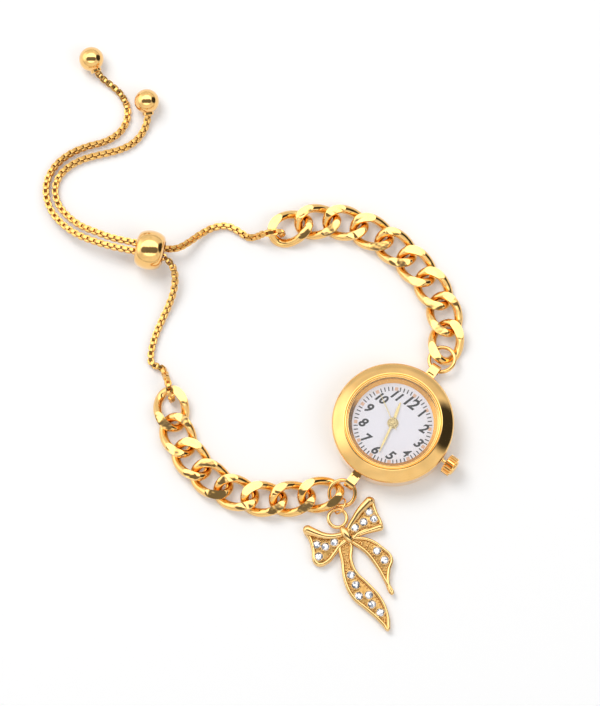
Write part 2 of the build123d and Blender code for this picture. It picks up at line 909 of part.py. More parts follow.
def curb_link():
    """One link, lying along X with its middle plane at height zero."""
    bars = []
    for index in range(link_bends):
        first = 2 * math.pi * index / link_bends
        second = 2 * math.pi * (index + 1) / link_bends
        start, end = link_point(first), link_point(second)
        leave, arrive = link_tangent(first), link_tangent(second)
        chord = end - start
        both = leave + arrive
        spread = 2 * (1 - leave.dot(arrive))
        along = chord.dot(both)
        reach = (math.sqrt(along * along + spread * chord.dot(chord)) - along) / spread
        before = start + leave * reach
        after = end - arrive * reach
        joint = (before + after) * 0.5
        bars.append(wire_bend(start, leave, joint, link_wire_radius))
        bars.append(wire_bend(joint, (after - before).normalized(), end, link_wire_radius))
    whole = bars[0].fuse(*bars[1:])
    length = 2 * (link_half_length + link_wire_radius + overrun)
    width = 2 * (link_half_width + link_wire_radius + overrun)
    return whole & Box(length, width, 2 * link_half_thickness)


def link_places(start, headings):
    """The middle and heading of each link, from the case outwards."""
    places = []
    x, y = start
    for index, heading in enumerate(headings):
        if index > 0:
            step_x, step_y = polar(link_pitch / 2, headings[index - 1])
            x, y = x + step_x, y + step_y
            step_x, step_y = polar(link_pitch / 2, heading)
            x, y = x + step_x, y + step_y
        places.append((x, y, heading))
    return places


def jump_ring_place(roll, pitch, yaw, lift, side):
    """Where a jump ring lies, with its near wire in the lug's cross hole."""
    near = Pos(0, lug_hole_reach, lug_hole_height + lift)
    place = near * Rot(Z=yaw) * Rot(X=pitch) * Rot(Y=roll) * Pos(0, ring_radius, 0)
    return Rot(Z=side) * place


def jump_ring(roll, pitch, yaw, lift, side):
    return jump_ring_place(roll, pitch, yaw, lift, side) * Torus(ring_radius, ring_wire_radius)


# Box chain, balls and slider


def link_hook(place, strand_heading):
    """The last points of a strand, which pass over a link's end wire and down inside it."""
    x, y, heading = place
    tip_x, tip_y = polar(link_half_length, heading)
    wire_x, wire_y = x + tip_x, y + tip_y
    top = link_half_thickness + hook_rise
    points = []
    for reach, height in ((hook_far, chain_low), (hook_foot, hook_foot_height), (hook_side, hook_shoulder),
                          (0, top), (-hook_side, hook_shoulder), (-hook_end, hook_end_height)):
        along, across = polar(reach, strand_heading)
        points.append((wire_x + along, wire_y + across, height))
    return points


def chain_tube(points, name):
    """A round tube along a route: straight runs joined by tangent arcs."""
    radius = box_chain_width / 2
    corners = [Vector(*point) for point in points]
    bars = []
    radii = []
    length = 0
    start = corners[0]
    for index in range(1, len(corners) - 1):
        before = corners[index] - corners[index - 1]
        after = corners[index + 1] - corners[index]
        half_turn = math.radians(before.get_angle(after)) / 2
        trim = arc_share * min(before.length, after.length)
        arc_start = corners[index] - before.normalized() * trim
        arc_end = corners[index] + after.normalized() * trim
        bars.append(straight_bar(start, arc_start, radius))
        bars.append(wire_bend(arc_start, before.normalized(), arc_end, radius))
        bend = trim / math.tan(half_turn)
        radii.append(bend)
        length += (arc_start - start).length + 2 * half_turn * bend
        start = arc_end
    bars.append(straight_bar(start, corners[-1], radius))
    length += (corners[-1] - start).length
    print(f"{name}: length {length:.1f} mm, bend radii", [round(bend, 1) for bend in radii])
    return bars[0].fuse(*bars[1:])


def straight_bar(start, end, radius):
    """A round bar between two points."""
    run = end - start
    face = Plane(origin=start, z_dir=run.normalized()) * Circle(radius)
    return extrude(face, run.length, dir=run.normalized())


def end_ball(place):
    """The ball on a chain's end, resting on the surface."""
    return Pos(place[0], place[1], ball_radius) * Sphere(ball_radius)


def bead_place():
    return Pos(bead_x, bead_y, bead_height) * Rot(Z=bead_heading)


def slider_bead():
    """The barrel-shaped bead, bored for its liner."""
    profile = make_face(
        Line((-bead_half_length, 0), (-bead_half_length, bead_mouth_radius))
        + ThreePointArc((-bead_half_length, bead_mouth_radius), (0, bead_radius),
                        (bead_half_length, bead_mouth_radius))
        + Line((bead_half_length, bead_mouth_radius), (bead_half_length, 0))
        + Line((bead_half_length, 0), (-bead_half_length, 0))
    )
    body = revolve(profile, axis=Axis.X)
    bore = Rot(Y=90) * Cylinder(liner_radius + press_gap, 2 * bead_half_length + overrun)
    return bead_place() * (body - bore)


def slider_liner():
    """The soft liner in the bead, with a channel for each strand."""
    liner = Rot(Y=90) * Cylinder(liner_radius, 2 * bead_half_length)
    for side in (-1, 1):
        channel = Rot(Y=90) * Cylinder(liner_bore_radius, 2 * bead_half_length + overrun)
        liner -= Pos(0, side * strand_offset, 0) * channel
    return bead_place() * liner


# Bow charm


def outline_face(points):
    """A face inside a closed outline whose corners are rounded by arcs."""
    count = len(points)
    corners = [Vector(*point) for point in points]
    corners = [
        corner
        for index, corner in enumerate(corners)
        if (corner - corners[index - 1]).get_angle(corners[(index + 1) % count] - corner) > straight_angle
    ]
    arcs = []
    for index, corner in enumerate(corners):
        before = corner - corners[index - 1]
        after = corners[(index + 1) % len(corners)] - corner
        half_turn = math.radians(before.get_angle(after)) / 2
        trim = arc_share * min(before.length, after.length)
        bend = trim / math.tan(half_turn)
        inward = (after.normalized() - before.normalized()).normalized()
        middle = corner + inward * (bend / math.cos(half_turn) - bend)
        arcs.append((corner - before.normalized() * trim, middle, corner + after.normalized() * trim))
    edges = []
    for index, (start, middle, end) in enumerate(arcs):
        edges.append(Edge.make_three_point_arc(start, middle, end))
        edges.append(Edge.make_line(end, arcs[(index + 1) % len(arcs)][0]))
    return Face(Wire(edges))


def ribbon(points, floor, top):
    """A ribbon of the bow with a raised rim along its edge."""
    face = outline_face(points)
    up = Vector(0, 0, 1)
    plate = Pos(0, 0, floor) * extrude(face, top - floor, dir=up)
    rim = extrude(face, rim_height, dir=up) - extrude(offset(face, -rim_width), rim_height, dir=up)
    return plate + Pos(0, 0, top) * rim


def charm_place():
    return Pos(charm_x, charm_y, 0) * Rot(Z=charm_turn)


def stone_seat(x, y):
    depth = stone_seat_depth + overrun
    top = charm_floor + charm_thickness
    return Pos(x, y, top - stone_seat_depth + depth / 2) * Cylinder(stone_radius + press_gap, depth)


def bow_charm():
    """The cast bow: two loops, two tails, a knot and the hanging eye."""
    top = charm_floor + charm_thickness
    bow = None
    for points in (left_loop, right_loop, long_tail, short_tail):
        piece = ribbon(points, charm_floor, top)
        bow = piece if bow is None else bow + piece
    knot = SlotOverall(knot_length, knot_width)
    knot_solid = extrude(knot, knot_height - charm_floor)
    knot_solid = chamfer(knot_solid.edges().group_by(Axis.Z)[-1], rim_width)
    bow += Pos(0, 0, charm_floor) * Rot(Z=knot_turn) * knot_solid
    bow += Pos(eye_x, eye_y, eye_height) * Torus(eye_radius, eye_wire_radius)
    for x, y in stone_places:
        bow -= stone_seat(x, y)
    return charm_place() * bow


def charm_stones():
    """The round cut stones, each with a flat table."""
    bottom = charm_floor + charm_thickness - stone_seat_depth + press_gap
    stones = []
    for x, y in stone_places:
        girdle = stone_height * stone_table_share
        body = Pos(x, y, bottom + girdle / 2) * Cylinder(stone_radius, girdle)
        cone = Cone(stone_radius, stone_radius * stone_table_share, stone_height - girdle)
        stones.append(body + Pos(x, y, bottom + girdle + (stone_height - girdle) / 2) * cone)
    return charm_place() * Compound(children=stones)


def charm_ring():
    """The small ring between the lower jump ring and the charm's eye, leaning over on its edge."""
    place = Pos(charm_ring_x, charm_ring_y, charm_ring_height) * Rot(Z=charm_ring_heading)
    return place * Rot(X=90 + charm_ring_lean) * Torus(charm_ring_radius, charm_ring_wire_radius)


def main():
    os.makedirs("parts", exist_ok=True)
    for build in (
        case_body, case_back, back_gasket, bezel, crystal, crystal_gasket, dial, dial_ring,
        crown, setting_stem, crown_tube, crown_gasket,
        main_plate, movement_holder, train_bridge, circuit_board, coil, stator, battery, battery_strap,
        seconds_wheel, step_wheel, rotor, third_wheel, centre_wheel, minute_wheel, hour_wheel,
        hour_hand, minute_hand, second_hand,
        slider_bead, slider_liner, bow_charm, charm_stones, charm_ring,
    ):
        save(build.__name__, build())

    link = curb_link()
    upper = link_places(upper_start, upper_headings)
    lower = link_places(lower_start, lower_headings)
    for row, places in (("upper", upper), ("lower", lower)):
        for index, (x, y, heading) in enumerate(places):
            save(f"link_{row}_{index + 1}", Pos(x, y, link_half_thickness) * Rot(Z=heading) * link)

    save("ring_upper", jump_ring(upper_ring_roll, upper_ring_pitch, upper_ring_yaw, 0, 0))
    save("ring_lower", jump_ring(lower_ring_roll, lower_ring_pitch, lower_ring_yaw, lower_ring_lift, 180))

    upper_hook = link_hook(upper[-1], upper_hook_heading)
    lower_hook = link_hook(lower[-1], lower_hook_heading)
    long_ball = end_ball(ball_long)
    tail_ball = end_ball(ball_tail)
    save("chain_long", chain_tube(long_route + upper_hook, "chain_long") - long_ball)
    save("chain_tail", chain_tube(tail_route, "chain_tail") - tail_ball)
    save("chain_short", chain_tube(short_route + lower_hook, "chain_short"))
    save("ball_long", long_ball)
    save("ball_tail", tail_ball)


main()
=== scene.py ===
import math

import bmesh
import bpy
from mathutils import Matrix, Vector


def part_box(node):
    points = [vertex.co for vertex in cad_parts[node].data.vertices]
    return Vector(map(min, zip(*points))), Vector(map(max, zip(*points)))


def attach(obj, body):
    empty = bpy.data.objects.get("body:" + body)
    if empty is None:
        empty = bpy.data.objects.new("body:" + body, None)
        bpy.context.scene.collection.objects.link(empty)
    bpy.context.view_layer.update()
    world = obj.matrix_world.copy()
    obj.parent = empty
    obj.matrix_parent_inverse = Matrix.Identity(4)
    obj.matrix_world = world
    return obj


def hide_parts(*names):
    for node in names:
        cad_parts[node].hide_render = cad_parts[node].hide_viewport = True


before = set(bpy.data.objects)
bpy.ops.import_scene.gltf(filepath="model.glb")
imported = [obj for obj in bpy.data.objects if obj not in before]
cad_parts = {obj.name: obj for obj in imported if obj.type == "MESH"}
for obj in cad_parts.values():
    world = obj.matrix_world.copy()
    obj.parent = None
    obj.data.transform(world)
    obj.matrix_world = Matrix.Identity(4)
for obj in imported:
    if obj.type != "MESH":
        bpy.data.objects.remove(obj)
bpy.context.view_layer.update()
mm = 0.001
mergeDistance = 0.0005 * mm
print("loaded", len(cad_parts), "nodes")


# Small helpers shared by all the pieces

def turnZ(degrees):
    return Matrix.Rotation(math.radians(degrees), 4, "Z")


def turnX(degrees):
    return Matrix.Rotation(math.radians(degrees), 4, "X")


def turnY(degrees):
    return Matrix.Rotation(math.radians(degrees), 4, "Y")


def moved(x, y, z=0):
    return Matrix.Translation((x * mm, y * mm, z * mm))


def polar(reach, angle):
    return reach * math.cos(math.radians(angle)), reach * math.sin(math.radians(angle))


def savedMesh(name, bm):
    mesh = bpy.data.meshes.new(name)
    bm.to_mesh(mesh)
    bm.free()
    return mesh


def addPiece(name, mesh, material, body):
    # the mesh as a piece of the scene, with its finish and the body that it rides on
    mesh.materials.clear()
    mesh.materials.append(material)
    piece = bpy.data.objects.new(name, mesh)
    bpy.context.scene.collection.objects.link(piece)
    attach(piece, body)
    return piece


def finishMesh(name, mesh, material, body, sharpAngle=35):
    # smooth faces with crisp edges
    mesh.shade_smooth()
    mesh.set_sharp_from_angle(angle=math.radians(sharpAngle))
    return addPiece(name, mesh, material, body)


def finishPiece(name, bm, material, body, sharpAngle=35):
    # joined seams and outward normals, then the finish
    bmesh.ops.remove_doubles(bm, verts=bm.verts, dist=mergeDistance)
    bmesh.ops.recalc_face_normals(bm, faces=bm.faces)
    return finishMesh(name, savedMesh(name, bm), material, body, sharpAngle)


def meshOf(curve):
    # the mesh that a curve or a text draws
    holder = bpy.data.objects.new(curve.name, curve)
    mesh = bpy.data.meshes.new_from_object(holder)
    bpy.data.objects.remove(holder)
    return mesh


def curveMesh(points, kind="POLY", closed=False, radius=0, sides=6, radii=None, steps=12):
    # a wire through the points; with a radius it becomes a round bar
    curve = bpy.data.curves.new("wire", "CURVE")
    curve.dimensions = "3D"
    curve.resolution_u = steps
    spline = curve.splines.new(kind)
    spline.points.add(len(points) - 1)
    for index, place in enumerate(points):
        spline.points[index].co = (*place, 1)
        if radii:
            spline.points[index].radius = radii[index]
    spline.use_cyclic_u = closed
    if kind == "NURBS":
        spline.order_u = 3
        spline.use_endpoint_u = not closed
    curve.bevel_depth = radius
    curve.bevel_resolution = sides
    curve.use_fill_caps = not closed
    return meshOf(curve)


def addMesh(bm, mesh, place=Matrix()):
    # the mesh joins the piece at its place
    before = len(bm.verts)
    bm.from_mesh(mesh)
    bm.verts.ensure_lookup_table()
    bmesh.ops.transform(bm, matrix=place, verts=bm.verts[before:])


def addSpun(bm, profile, place=Matrix(), steps=96):
    # a profile of radius and height in millimetres, turned about Z
    verts = [bm.verts.new((radius * mm, 0, height * mm)) for radius, height in profile]
    edges = [bm.edges.new(pair) for pair in zip(verts, verts[1:])]
    bmesh.ops.spin(bm, geom=verts + edges, cent=(0, 0, 0), axis=(0, 0, 1), angle=2 * math.pi,
                   steps=steps, use_merge=True)
    bm.verts.ensure_lookup_table()
    fresh = linkedVerts(bm.verts[-1])
    bmesh.ops.remove_doubles(bm, verts=list(fresh), dist=mergeDistance)
    fresh = [vert for vert in fresh if vert.is_valid]
    bmesh.ops.transform(bm, matrix=place, verts=fresh)
    return fresh


def linkedVerts(start):
    # every vertex that edges join to the first
    found = {start}
    waiting = [start]
    while waiting:
        for edge in waiting.pop().link_edges:
            for vert in edge.verts:
                if vert not in found:
                    found.add(vert)
                    waiting.append(vert)
    return found


def addRing(bm, ringRadius, wireRadius, place=Matrix(), steps=72, sides=20):
    # a round wire bent to a ring that lies flat
    disc = bmesh.ops.create_circle(bm, segments=sides, radius=wireRadius * mm,
                                   matrix=moved(ringRadius, 0) @ turnX(90))
    edges = list({edge for vert in disc["verts"] for edge in vert.link_edges})
    bmesh.ops.spin(bm, geom=disc["verts"] + edges, cent=(0, 0, 0), axis=(0, 0, 1), angle=2 * math.pi,
                   steps=steps, use_merge=True)
    bm.verts.ensure_lookup_table()
    bmesh.ops.transform(bm, matrix=place, verts=list(linkedVerts(bm.verts[-1])))


def addBall(bm, radius, place, around, rows):
    bmesh.ops.create_uvsphere(bm, u_segments=around, v_segments=rows, radius=radius * mm, matrix=place)


def roundEdges(bm, edges, offset, segments=1, clamp=False):
    bmesh.ops.bevel(bm, geom=edges, offset=offset * mm, segments=segments, profile=0.5, affect="EDGES",
                    material=-1, clamp_overlap=clamp)


def shares(steps):
    # even shares from 0 to 1
    return [step / steps for step in range(steps + 1)]


# Camera, set from the photograph's scale: 0.2 mm a pixel at the watch

picture = {"turn": 36, "elevation": 78, "distance": 1500, "scale": 0.2, "width": 600, "nearest": 10,
           "caseColumn": 392.5, "caseRow": 426, "middleColumn": 300, "middleRow": 353, "aimHeight": 2}


def pictureAxes():
    right = turnZ(picture["turn"]) @ Vector((1, 0, 0))
    up = turnZ(picture["turn"]) @ Vector((0, 1, 0))
    return right, up


def makeCamera():
    right, up = pictureAxes()
    across = (picture["middleColumn"] - picture["caseColumn"]) * picture["scale"] * mm
    lift = math.sin(math.radians(picture["elevation"]))
    along = (picture["caseRow"] - picture["middleRow"]) * picture["scale"] / lift * mm
    aim = right * across + up * along + Vector((0, 0, picture["aimHeight"] * mm))
    back = (Vector((0, 0, 1)) * lift - up * math.cos(math.radians(picture["elevation"]))).normalized()
    upwards = back.cross(right)
    lens = bpy.data.cameras.new("camera")
    lens.sensor_fit = "HORIZONTAL"
    lens.angle = 2 * math.atan(picture["width"] * picture["scale"] / 2 / picture["distance"])
    lens.clip_start = picture["nearest"] * mm
    camera = bpy.data.objects.new("camera", lens)
    bpy.context.scene.collection.objects.link(camera)
    place = Matrix((right, upwards, back)).transposed().to_4x4()
    place.translation = aim + back * picture["distance"] * mm
    camera.matrix_world = place
    bpy.context.scene.camera = camera
    return aim, back


aim, towardCamera = makeCamera()
print("camera set")


# Materials

def linear(code):
    # an sRGB hex value as linear light
    parts = [int(code[index:index + 2], 16) / 255 for index in (1, 3, 5)]
    return [part / 12.92 if part <= 0.04045 else ((part + 0.055) / 1.055) ** 2.4 for part in parts] + [1]


def addNode(tree, kind, settings=None, links=None):
    # a node with its settings, its input values and the sockets that feed it
    node = tree.nodes.new("ShaderNode" + kind)
    for key, value in (settings or {}).items():
        if key in node.inputs:
            node.inputs[key].default_value = value
        else:
            setattr(node, key, value)
    for key, source in (links or {}).items():
        tree.links.new(source, node.inputs[key])
    return node


def newMaterial(name):
    material = bpy.data.materials.new(name)
    material.use_nodes = True
    tree = material.node_tree
    tree.nodes.clear()
    return material, tree


def closeMaterial(tree, shader):
    addNode(tree, "OutputMaterial", links={"Surface": shader.outputs[0]})


def addNoise(tree, place, width, detail, roughness=0.5):
    # noise with marks of about the given width in millimetres
    return addNode(tree, "TexNoise",
                   {"Scale": 1 / (width * mm), "Detail": detail, "Roughness": roughness},
                   {"Vector": place}).outputs[0]


def addTone(tree, factor, colour, other):
    # a blend of two colours: inputs 6 and 7 of a mix node, and its output 2
    tone = addNode(tree, "Mix", {"data_type": "RGBA"}, {"Factor": factor})
    tone.inputs[6].default_value = linear(colour)
    tone.inputs[7].default_value = linear(other)
    return tone.outputs[2]


def addPolish(tree, grain, low, high):
    # roughness that follows the grain
    return addNode(tree, "MapRange", {"To Min": low, "To Max": high}, {"Value": grain}).outputs[0]


def metalMaterial(name, colour, dark, roughness, spread, grain, bump, stretch=(1, 1, 1), wave=0, coat=0.0):
    # metal whose tone and polish drift a little; grain is the mark spacing in millimetres, wave the height
    # of the slow unevenness that polishing leaves, six times as wide, and coat the clear lacquer over it
    material, tree = newMaterial(name)
    place = addNode(tree, "TexCoord")
    mapping = addNode(tree, "Mapping", {"Scale": stretch}, {"Vector": place.outputs["Object"]})
    drift = addNoise(tree, mapping.outputs[0], 6 * grain, 2)
    fine = addNoise(tree, mapping.outputs[0], grain, 4, 0.6)
    tone = addTone(tree, drift, colour, dark)
    polish = addPolish(tree, fine, roughness - spread, roughness + spread)
    relief = addNode(tree, "Bump", {"Strength": 0.15, "Distance": bump * mm}, {"Height": fine})
    if wave:
        relief = addNode(tree, "Bump", {"Strength": 1.0, "Distance": wave * mm},
                         {"Height": drift, "Normal": relief.outputs[0]})
    shader = addNode(tree, "BsdfPrincipled",
                     {"Metallic": 1.0, "Coat Weight": coat, "Coat Roughness": 0.05},
                     {"Base Color": tone, "Roughness": polish, "Normal": relief.outputs[0]})
    closeMaterial(tree, shader)
    return material


def plainMaterial(name, colour, other, roughness, grain, bump, coat=0.0, gloss=0.5):
    # plastic, rubber or lacquer: two close tones in fine grain over a slight relief
    material, tree = newMaterial(name)
    place = addNode(tree, "TexCoord")
    fine = addNoise(tree, place.outputs["Object"], grain, 3)
    tone = addTone(tree, fine, colour, other)
    polish = addPolish(tree, fine, roughness * 0.85, roughness * 1.15)
    relief = addNode(tree, "Bump", {"Strength": 0.2, "Distance": bump * mm}, {"Height": fine})
    shader = addNode(tree, "BsdfPrincipled", {"Coat Weight": coat, "Specular IOR Level": gloss},
                     {"Base Color": tone, "Roughness": polish, "Normal": relief.outputs[0]})
    closeMaterial(tree, shader)
    return material


def glassMaterial(name, tint, alpha, roughness, ior, smearWidth=3):
    # clear glass seen as gloss over what lies behind it, with slow smears of the given width
    material, tree = newMaterial(name)
    place = addNode(tree, "TexCoord")
    smear = addNoise(tree, place.outputs["Object"], smearWidth, 2)
    polish = addPolish(tree, smear, roughness * 0.5, roughness * 1.5)
    shader = addNode(tree, "BsdfPrincipled",
                     {"Base Color": linear(tint), "Alpha": alpha, "IOR": ior, "Specular IOR Level": 0.12},
                     {"Roughness": polish})
    closeMaterial(tree, shader)
    return material


finishes = {
    # yellow gold flash over polished brass under clear lacquer: sharp, warm reflections
    "goldPlate": metalMaterial(
        "polishedGoldPlate", "#F9C97A", "#F4BF6A", 0.08, 0.03, 0.4, 0.004, wave=0.012, coat=1.0),
    # the curb links are ground flat before they're plated, so their facets are the sharpest mirrors
    "goldLinks": metalMaterial(
        "groundGoldPlate", "#F9CB7C", "#F1BC66", 0.07, 0.03, 0.4, 0.003, wave=0.13, coat=1.0),
    # the small box links are tumbled, which leaves them softer
    "goldChain": metalMaterial(
        "tumbledGoldPlate", "#F3C274", "#E0A850", 0.15, 0.05, 0.25, 0.006, coat=0.4),
    # cast zinc under the plate: soft edges, a little orange peel
    "goldCast": metalMaterial(
        "castGoldPlate", "#F4CC88", "#E6B86E", 0.15, 0.05, 0.2, 0.012, wave=0.02, coat=0.6),
    # the floors between the stones are left as cast and grained, rougher than the rest; their deeper brown
    # tone is painted shade for these sunken floors
    "goldGrainedPaintedShade": metalMaterial("grainedGoldPlatePaintedShade", "#EDC27A", "#9A6A2C", 0.34, 0.08, 0.14, 0.12),
    # the ring round the dial is stamped, then plated a shade deeper
    "goldStamped": metalMaterial(
        "stampedGoldPlate", "#EDB050", "#DC983C", 0.24, 0.06, 0.15, 0.01, wave=0.02),
    "paleGold": metalMaterial("paleGiltBrass", "#E2CE94", "#D8C286", 0.42, 0.04, 0.2, 0.002),
    # stainless steel back, brushed in one direction
    "brushedSteel": metalMaterial(
        "brushedStainlessSteel", "#C9C8C5", "#B4B2AE", 0.32, 0.08, 0.06, 0.004, (1, 14, 1)),
    "turnedSteel": metalMaterial(
        "turnedCarbonSteel", "#BBBBBD", "#A3A3A6", 0.25, 0.06, 0.08, 0.003, (9, 1, 1)),
    "nickelSteel": metalMaterial("nickelPlatedSteel", "#D0CEC8", "#BDBBB5", 0.2, 0.05, 0.2, 0.003),
    "plateBrass": metalMaterial("rolledBrass", "#D3AE62", "#C09A50", 0.3, 0.07, 0.1, 0.004, (1, 8, 1)),
    "copperWinding": metalMaterial(
        "enamelledCopperWire", "#C4763A", "#8F4A1E", 0.35, 0.08, 0.05, 0.02, (1, 1, 6)),
    "sinteredMagnet": metalMaterial("sinteredMagnet", "#6A6A6E", "#55555A", 0.5, 0.08, 0.05, 0.01),
    # opaque white lacquer with a cold cast, under glass
    "dialLacquer": plainMaterial("whiteDialLacquer", "#F1EFF6", "#ECEAF2", 0.5, 0.15, 0.001, gloss=0.2),
    "printInk": plainMaterial("blackPadPrintInk", "#0F0F13", "#18181D", 0.6, 0.05, 0.002, gloss=0.1),
    "markInk": plainMaterial("copperPadPrintInk", "#E8BFA4", "#DBAE90", 0.5, 0.05, 0.002, gloss=0.2),
    "sealRubber": plainMaterial("blackNitrileRubber", "#1A1A1A", "#232323", 0.7, 0.1, 0.01),
    "amberNylon": plainMaterial("amberNylonSeal", "#DDBB78", "#D0AB68", 0.4, 0.2, 0.005),
    "linerRubber": plainMaterial("brownSiliconeRubber", "#8A4E2E", "#733E22", 0.5, 0.2, 0.01),
    "holderPlastic": plainMaterial("greyMouldedAcetal", "#CFCFCB", "#C4C4C0", 0.5, 0.3, 0.01),
    "boardMask": plainMaterial("greenSolderMask", "#1F5B34", "#184A2A", 0.35, 0.2, 0.005, 0.3),
    "watchGlass": glassMaterial("mineralGlass", "#FFFFFF", 0.06, 0.02, 1.52),
}


def stoneMaterial(paintedGlintWidth=0.42):
    # cut clear glass with a silver foil behind it; its facets get painted glints: random cells of the base
    # colour are white or grey, standing in for facets that catch the light or miss it
    material, tree = newMaterial("foilBackedCrystalPaintedGlints")
    place = addNode(tree, "TexCoord")
    # painted reflection: these cells decide which patches are painted white and which grey
    cells = addNode(tree, "TexVoronoi", {"Scale": 1 / (paintedGlintWidth * mm)},
                    {"Vector": place.outputs["Object"]})
    paintedGlintCell = addNode(tree, "SeparateColor", links={0: cells.outputs["Color"]})
    share = addNode(tree, "MapRange", {"From Min": 0.58, "From Max": 0.7},
                    {"Value": paintedGlintCell.outputs[0]})
    shader = addNode(tree, "BsdfPrincipled",
                     {"Metallic": 0.5, "Roughness": 0.08, "Coat Weight": 1.0, "Coat Roughness": 0.02},
                     {"Base Color": addTone(tree, share.outputs[0], "#FDFDFF", "#7C828E")})
    closeMaterial(tree, shader)
    return material


finishes["cutCrystal"] = stoneMaterial()
print("materials made", len(finishes))


# Box chain: three strands of square links that follow the laid-out course

boxChain = {"side": 1.36, "strip": 0.74, "wall": 0.26, "cornerRound": 0.38, "edgeRound": 0.07,
            "pitch": 0.71, "roll": 0.42, "rollSpread": 0.7, "levelLimit": 0.6, "ease": 0.3}

# courses in millimetres, from each strand's fixed end to its far end
longCourse = [
    (-41.04, 18.95, 1.15), (-41.0, 18.99, 3.45), (-42.53, 17.61, 4.0), (-44.05, 16.24, 3.45),
    (-44.83, 15.54, 1.25), (-46.17, 14.34, 0.8), (-48.7, 14.4, 0.8), (-51.2, 14.0, 0.8),
    (-53.2, 12.0, 0.9), (-54.3, 9.3, 1.5), (-55.0, 6.5, 2.5), (-55.8, 4.0, 3.5), (-57.6, 2.34, 4.0),
    (-61.2, 0.74, 4.0), (-64.6, -0.78, 4.0), (-68.0, -2.29, 4.0), (-71.1, -3.0, 3.6), (-74.2, -3.7, 2.8),
    (-77.4, -3.6, 1.9), (-80.8, -2.8, 1.2), (-83.4, -0.75, 0.85), (-84.55, 2.15, 0.8),
    (-84.05, 5.45, 0.8), (-82.4, 8.45, 0.8), (-80.15, 11.1, 0.8), (-77.9, 13.7, 0.8), (-76.4, 16.4, 0.8),
    (-76.1, 19.3, 0.8), (-76.7, 21.9, 1.3), (-77.9, 24.0, 2.3),
]
tailCourse = [
    (-57.28, 0.6, 4.0), (-60.6, -0.87, 4.0), (-63.9, -2.35, 4.0), (-67.3, -3.86, 4.0),
    (-70.8, -5.0, 3.7), (-74.2, -5.7, 3.1), (-77.7, -5.6, 2.3), (-81.2, -4.7, 1.6), (-84.3, -2.55, 1.1),
    (-86.15, 0.6, 0.85), (-86.45, 4.1, 0.8), (-85.45, 7.6, 0.8), (-83.45, 10.8, 0.8), (-81.2, 13.4, 0.8),
    (-79.9, 16.3, 0.8), (-80.0, 19.4, 0.8), (-81.6, 22.0, 0.8), (-84.3, 23.4, 0.8), (-87.1, 23.7, 0.8),
    (-89.7, 23.6, 1.3), (-91.9, 24.3, 2.3),
]
shortCourse = [
    (-38.94, -21.43, 1.15), (-38.9, -21.46, 3.45), (-40.49, -20.17, 4.0), (-42.09, -18.88, 3.45),
    (-42.9, -18.22, 1.25), (-44.3, -17.09, 0.8), (-46.7, -18.2, 0.8), (-48.3, -15.6, 0.8),
    (-49.5, -12.5, 0.8), (-50.2, -9.4, 0.8), (-50.8, -6.3, 1.2), (-51.6, -3.4, 2.0), (-53.0, -0.9, 3.0),
    (-54.9, 0.6, 3.75), (-56.78, 0.83, 4.0),
]


def endFaces(bm):
    # the faces that look up or down
    return [face for face in bm.faces if abs(face.normal.z) > 0.9]


def boxLinkMesh():
    # one link: a short square tube, its open ends up and down
    bm = bmesh.new()
    side = boxChain["side"] * mm
    strip = boxChain["strip"] * mm
    bmesh.ops.create_cube(bm, size=1, matrix=Matrix.Diagonal((side, side, strip, 1)))
    corners = [edge for edge in bm.edges if abs((edge.verts[0].co - edge.verts[1].co).z) > strip / 2]
    roundEdges(bm, corners, boxChain["cornerRound"], 2)
    roundEdges(bm, [edge for face in endFaces(bm) for edge in face.edges], boxChain["edgeRound"])
    ends = endFaces(bm)
    bmesh.ops.inset_individual(bm, faces=ends, thickness=boxChain["wall"] * mm, depth=0)
    edges = [edge for face in ends for edge in face.edges]
    bmesh.ops.delete(bm, geom=ends, context="FACES_ONLY")
    bmesh.ops.bridge_loops(bm, edges=edges)
    return savedMesh("boxLink", bm)


def evenSteps(path, pitch):
    # places at an even spacing along the path, with the path's direction there
    steps = []
    left = 0
    for start, end in zip(path, path[1:]):
        run = end - start
        while left <= run.length:
            steps.append((start + run.normalized() * left, run.normalized()))
            left += pitch
        left -= run.length
    return steps


def boxStrand(name, course, body, link):
    path = [vert.co.copy() for vert in curveMesh([[value * mm for value in point] for point in course],
                                                 "NURBS", steps=16).vertices]
    bm = bmesh.new()
    # the strands lie rolled a little, so that one side face shows along the inside of the curve
    right, upPicture = pictureAxes()
    tilt = (upPicture - right) * boxChain["roll"] * boxChain["rollSpread"]
    rolled = (Vector((0, 0, 1)) + tilt).normalized()
    up = rolled
    for index, (place, along) in enumerate(evenSteps(path, boxChain["pitch"] * mm)):
        level = rolled - along * along.dot(rolled)
        if level.length > boxChain["levelLimit"]:
            # away from the steep parts the roll eases back
            up = (up + level * boxChain["ease"]).normalized()
        side = up.cross(along).normalized()
        up = along.cross(side).normalized()
        turn = Matrix((along, side, up)).transposed().to_4x4()
        turn.translation = place
        addMesh(bm, link, turn @ turnX(90 * (index % 2)))
    piece = finishMesh(name, savedMesh(name, bm), finishes["goldChain"], body, 30)
    length = sum((end - start).length for start, end in zip(path, path[1:]))
    print(name, "length", round(length / mm, 1), "mm")
    return piece, path, length


boxLink = boxLinkMesh()
longStrand, longPath, longLength = boxStrand("box_chain_long", longCourse, "closure", boxLink)
tailStrand, tailPath, tailLength = boxStrand("box_chain_tail", tailCourse, "closure", boxLink)
shortStrand, shortPath, shortLength = boxStrand("box_chain_short", shortCourse, "strand", boxLink)
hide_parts("chain_long")
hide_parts("chain_tail")
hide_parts("chain_short")
print("box chain made")


# End balls: seamless beads with the crimped collar that grips the chain

endBall = {"radius": 2.5, "collarRadius": 1.15, "collarLength": 0.7, "collarReach": 2.15,
           "collarSink": 0.3, "collarEdge": 0.15}


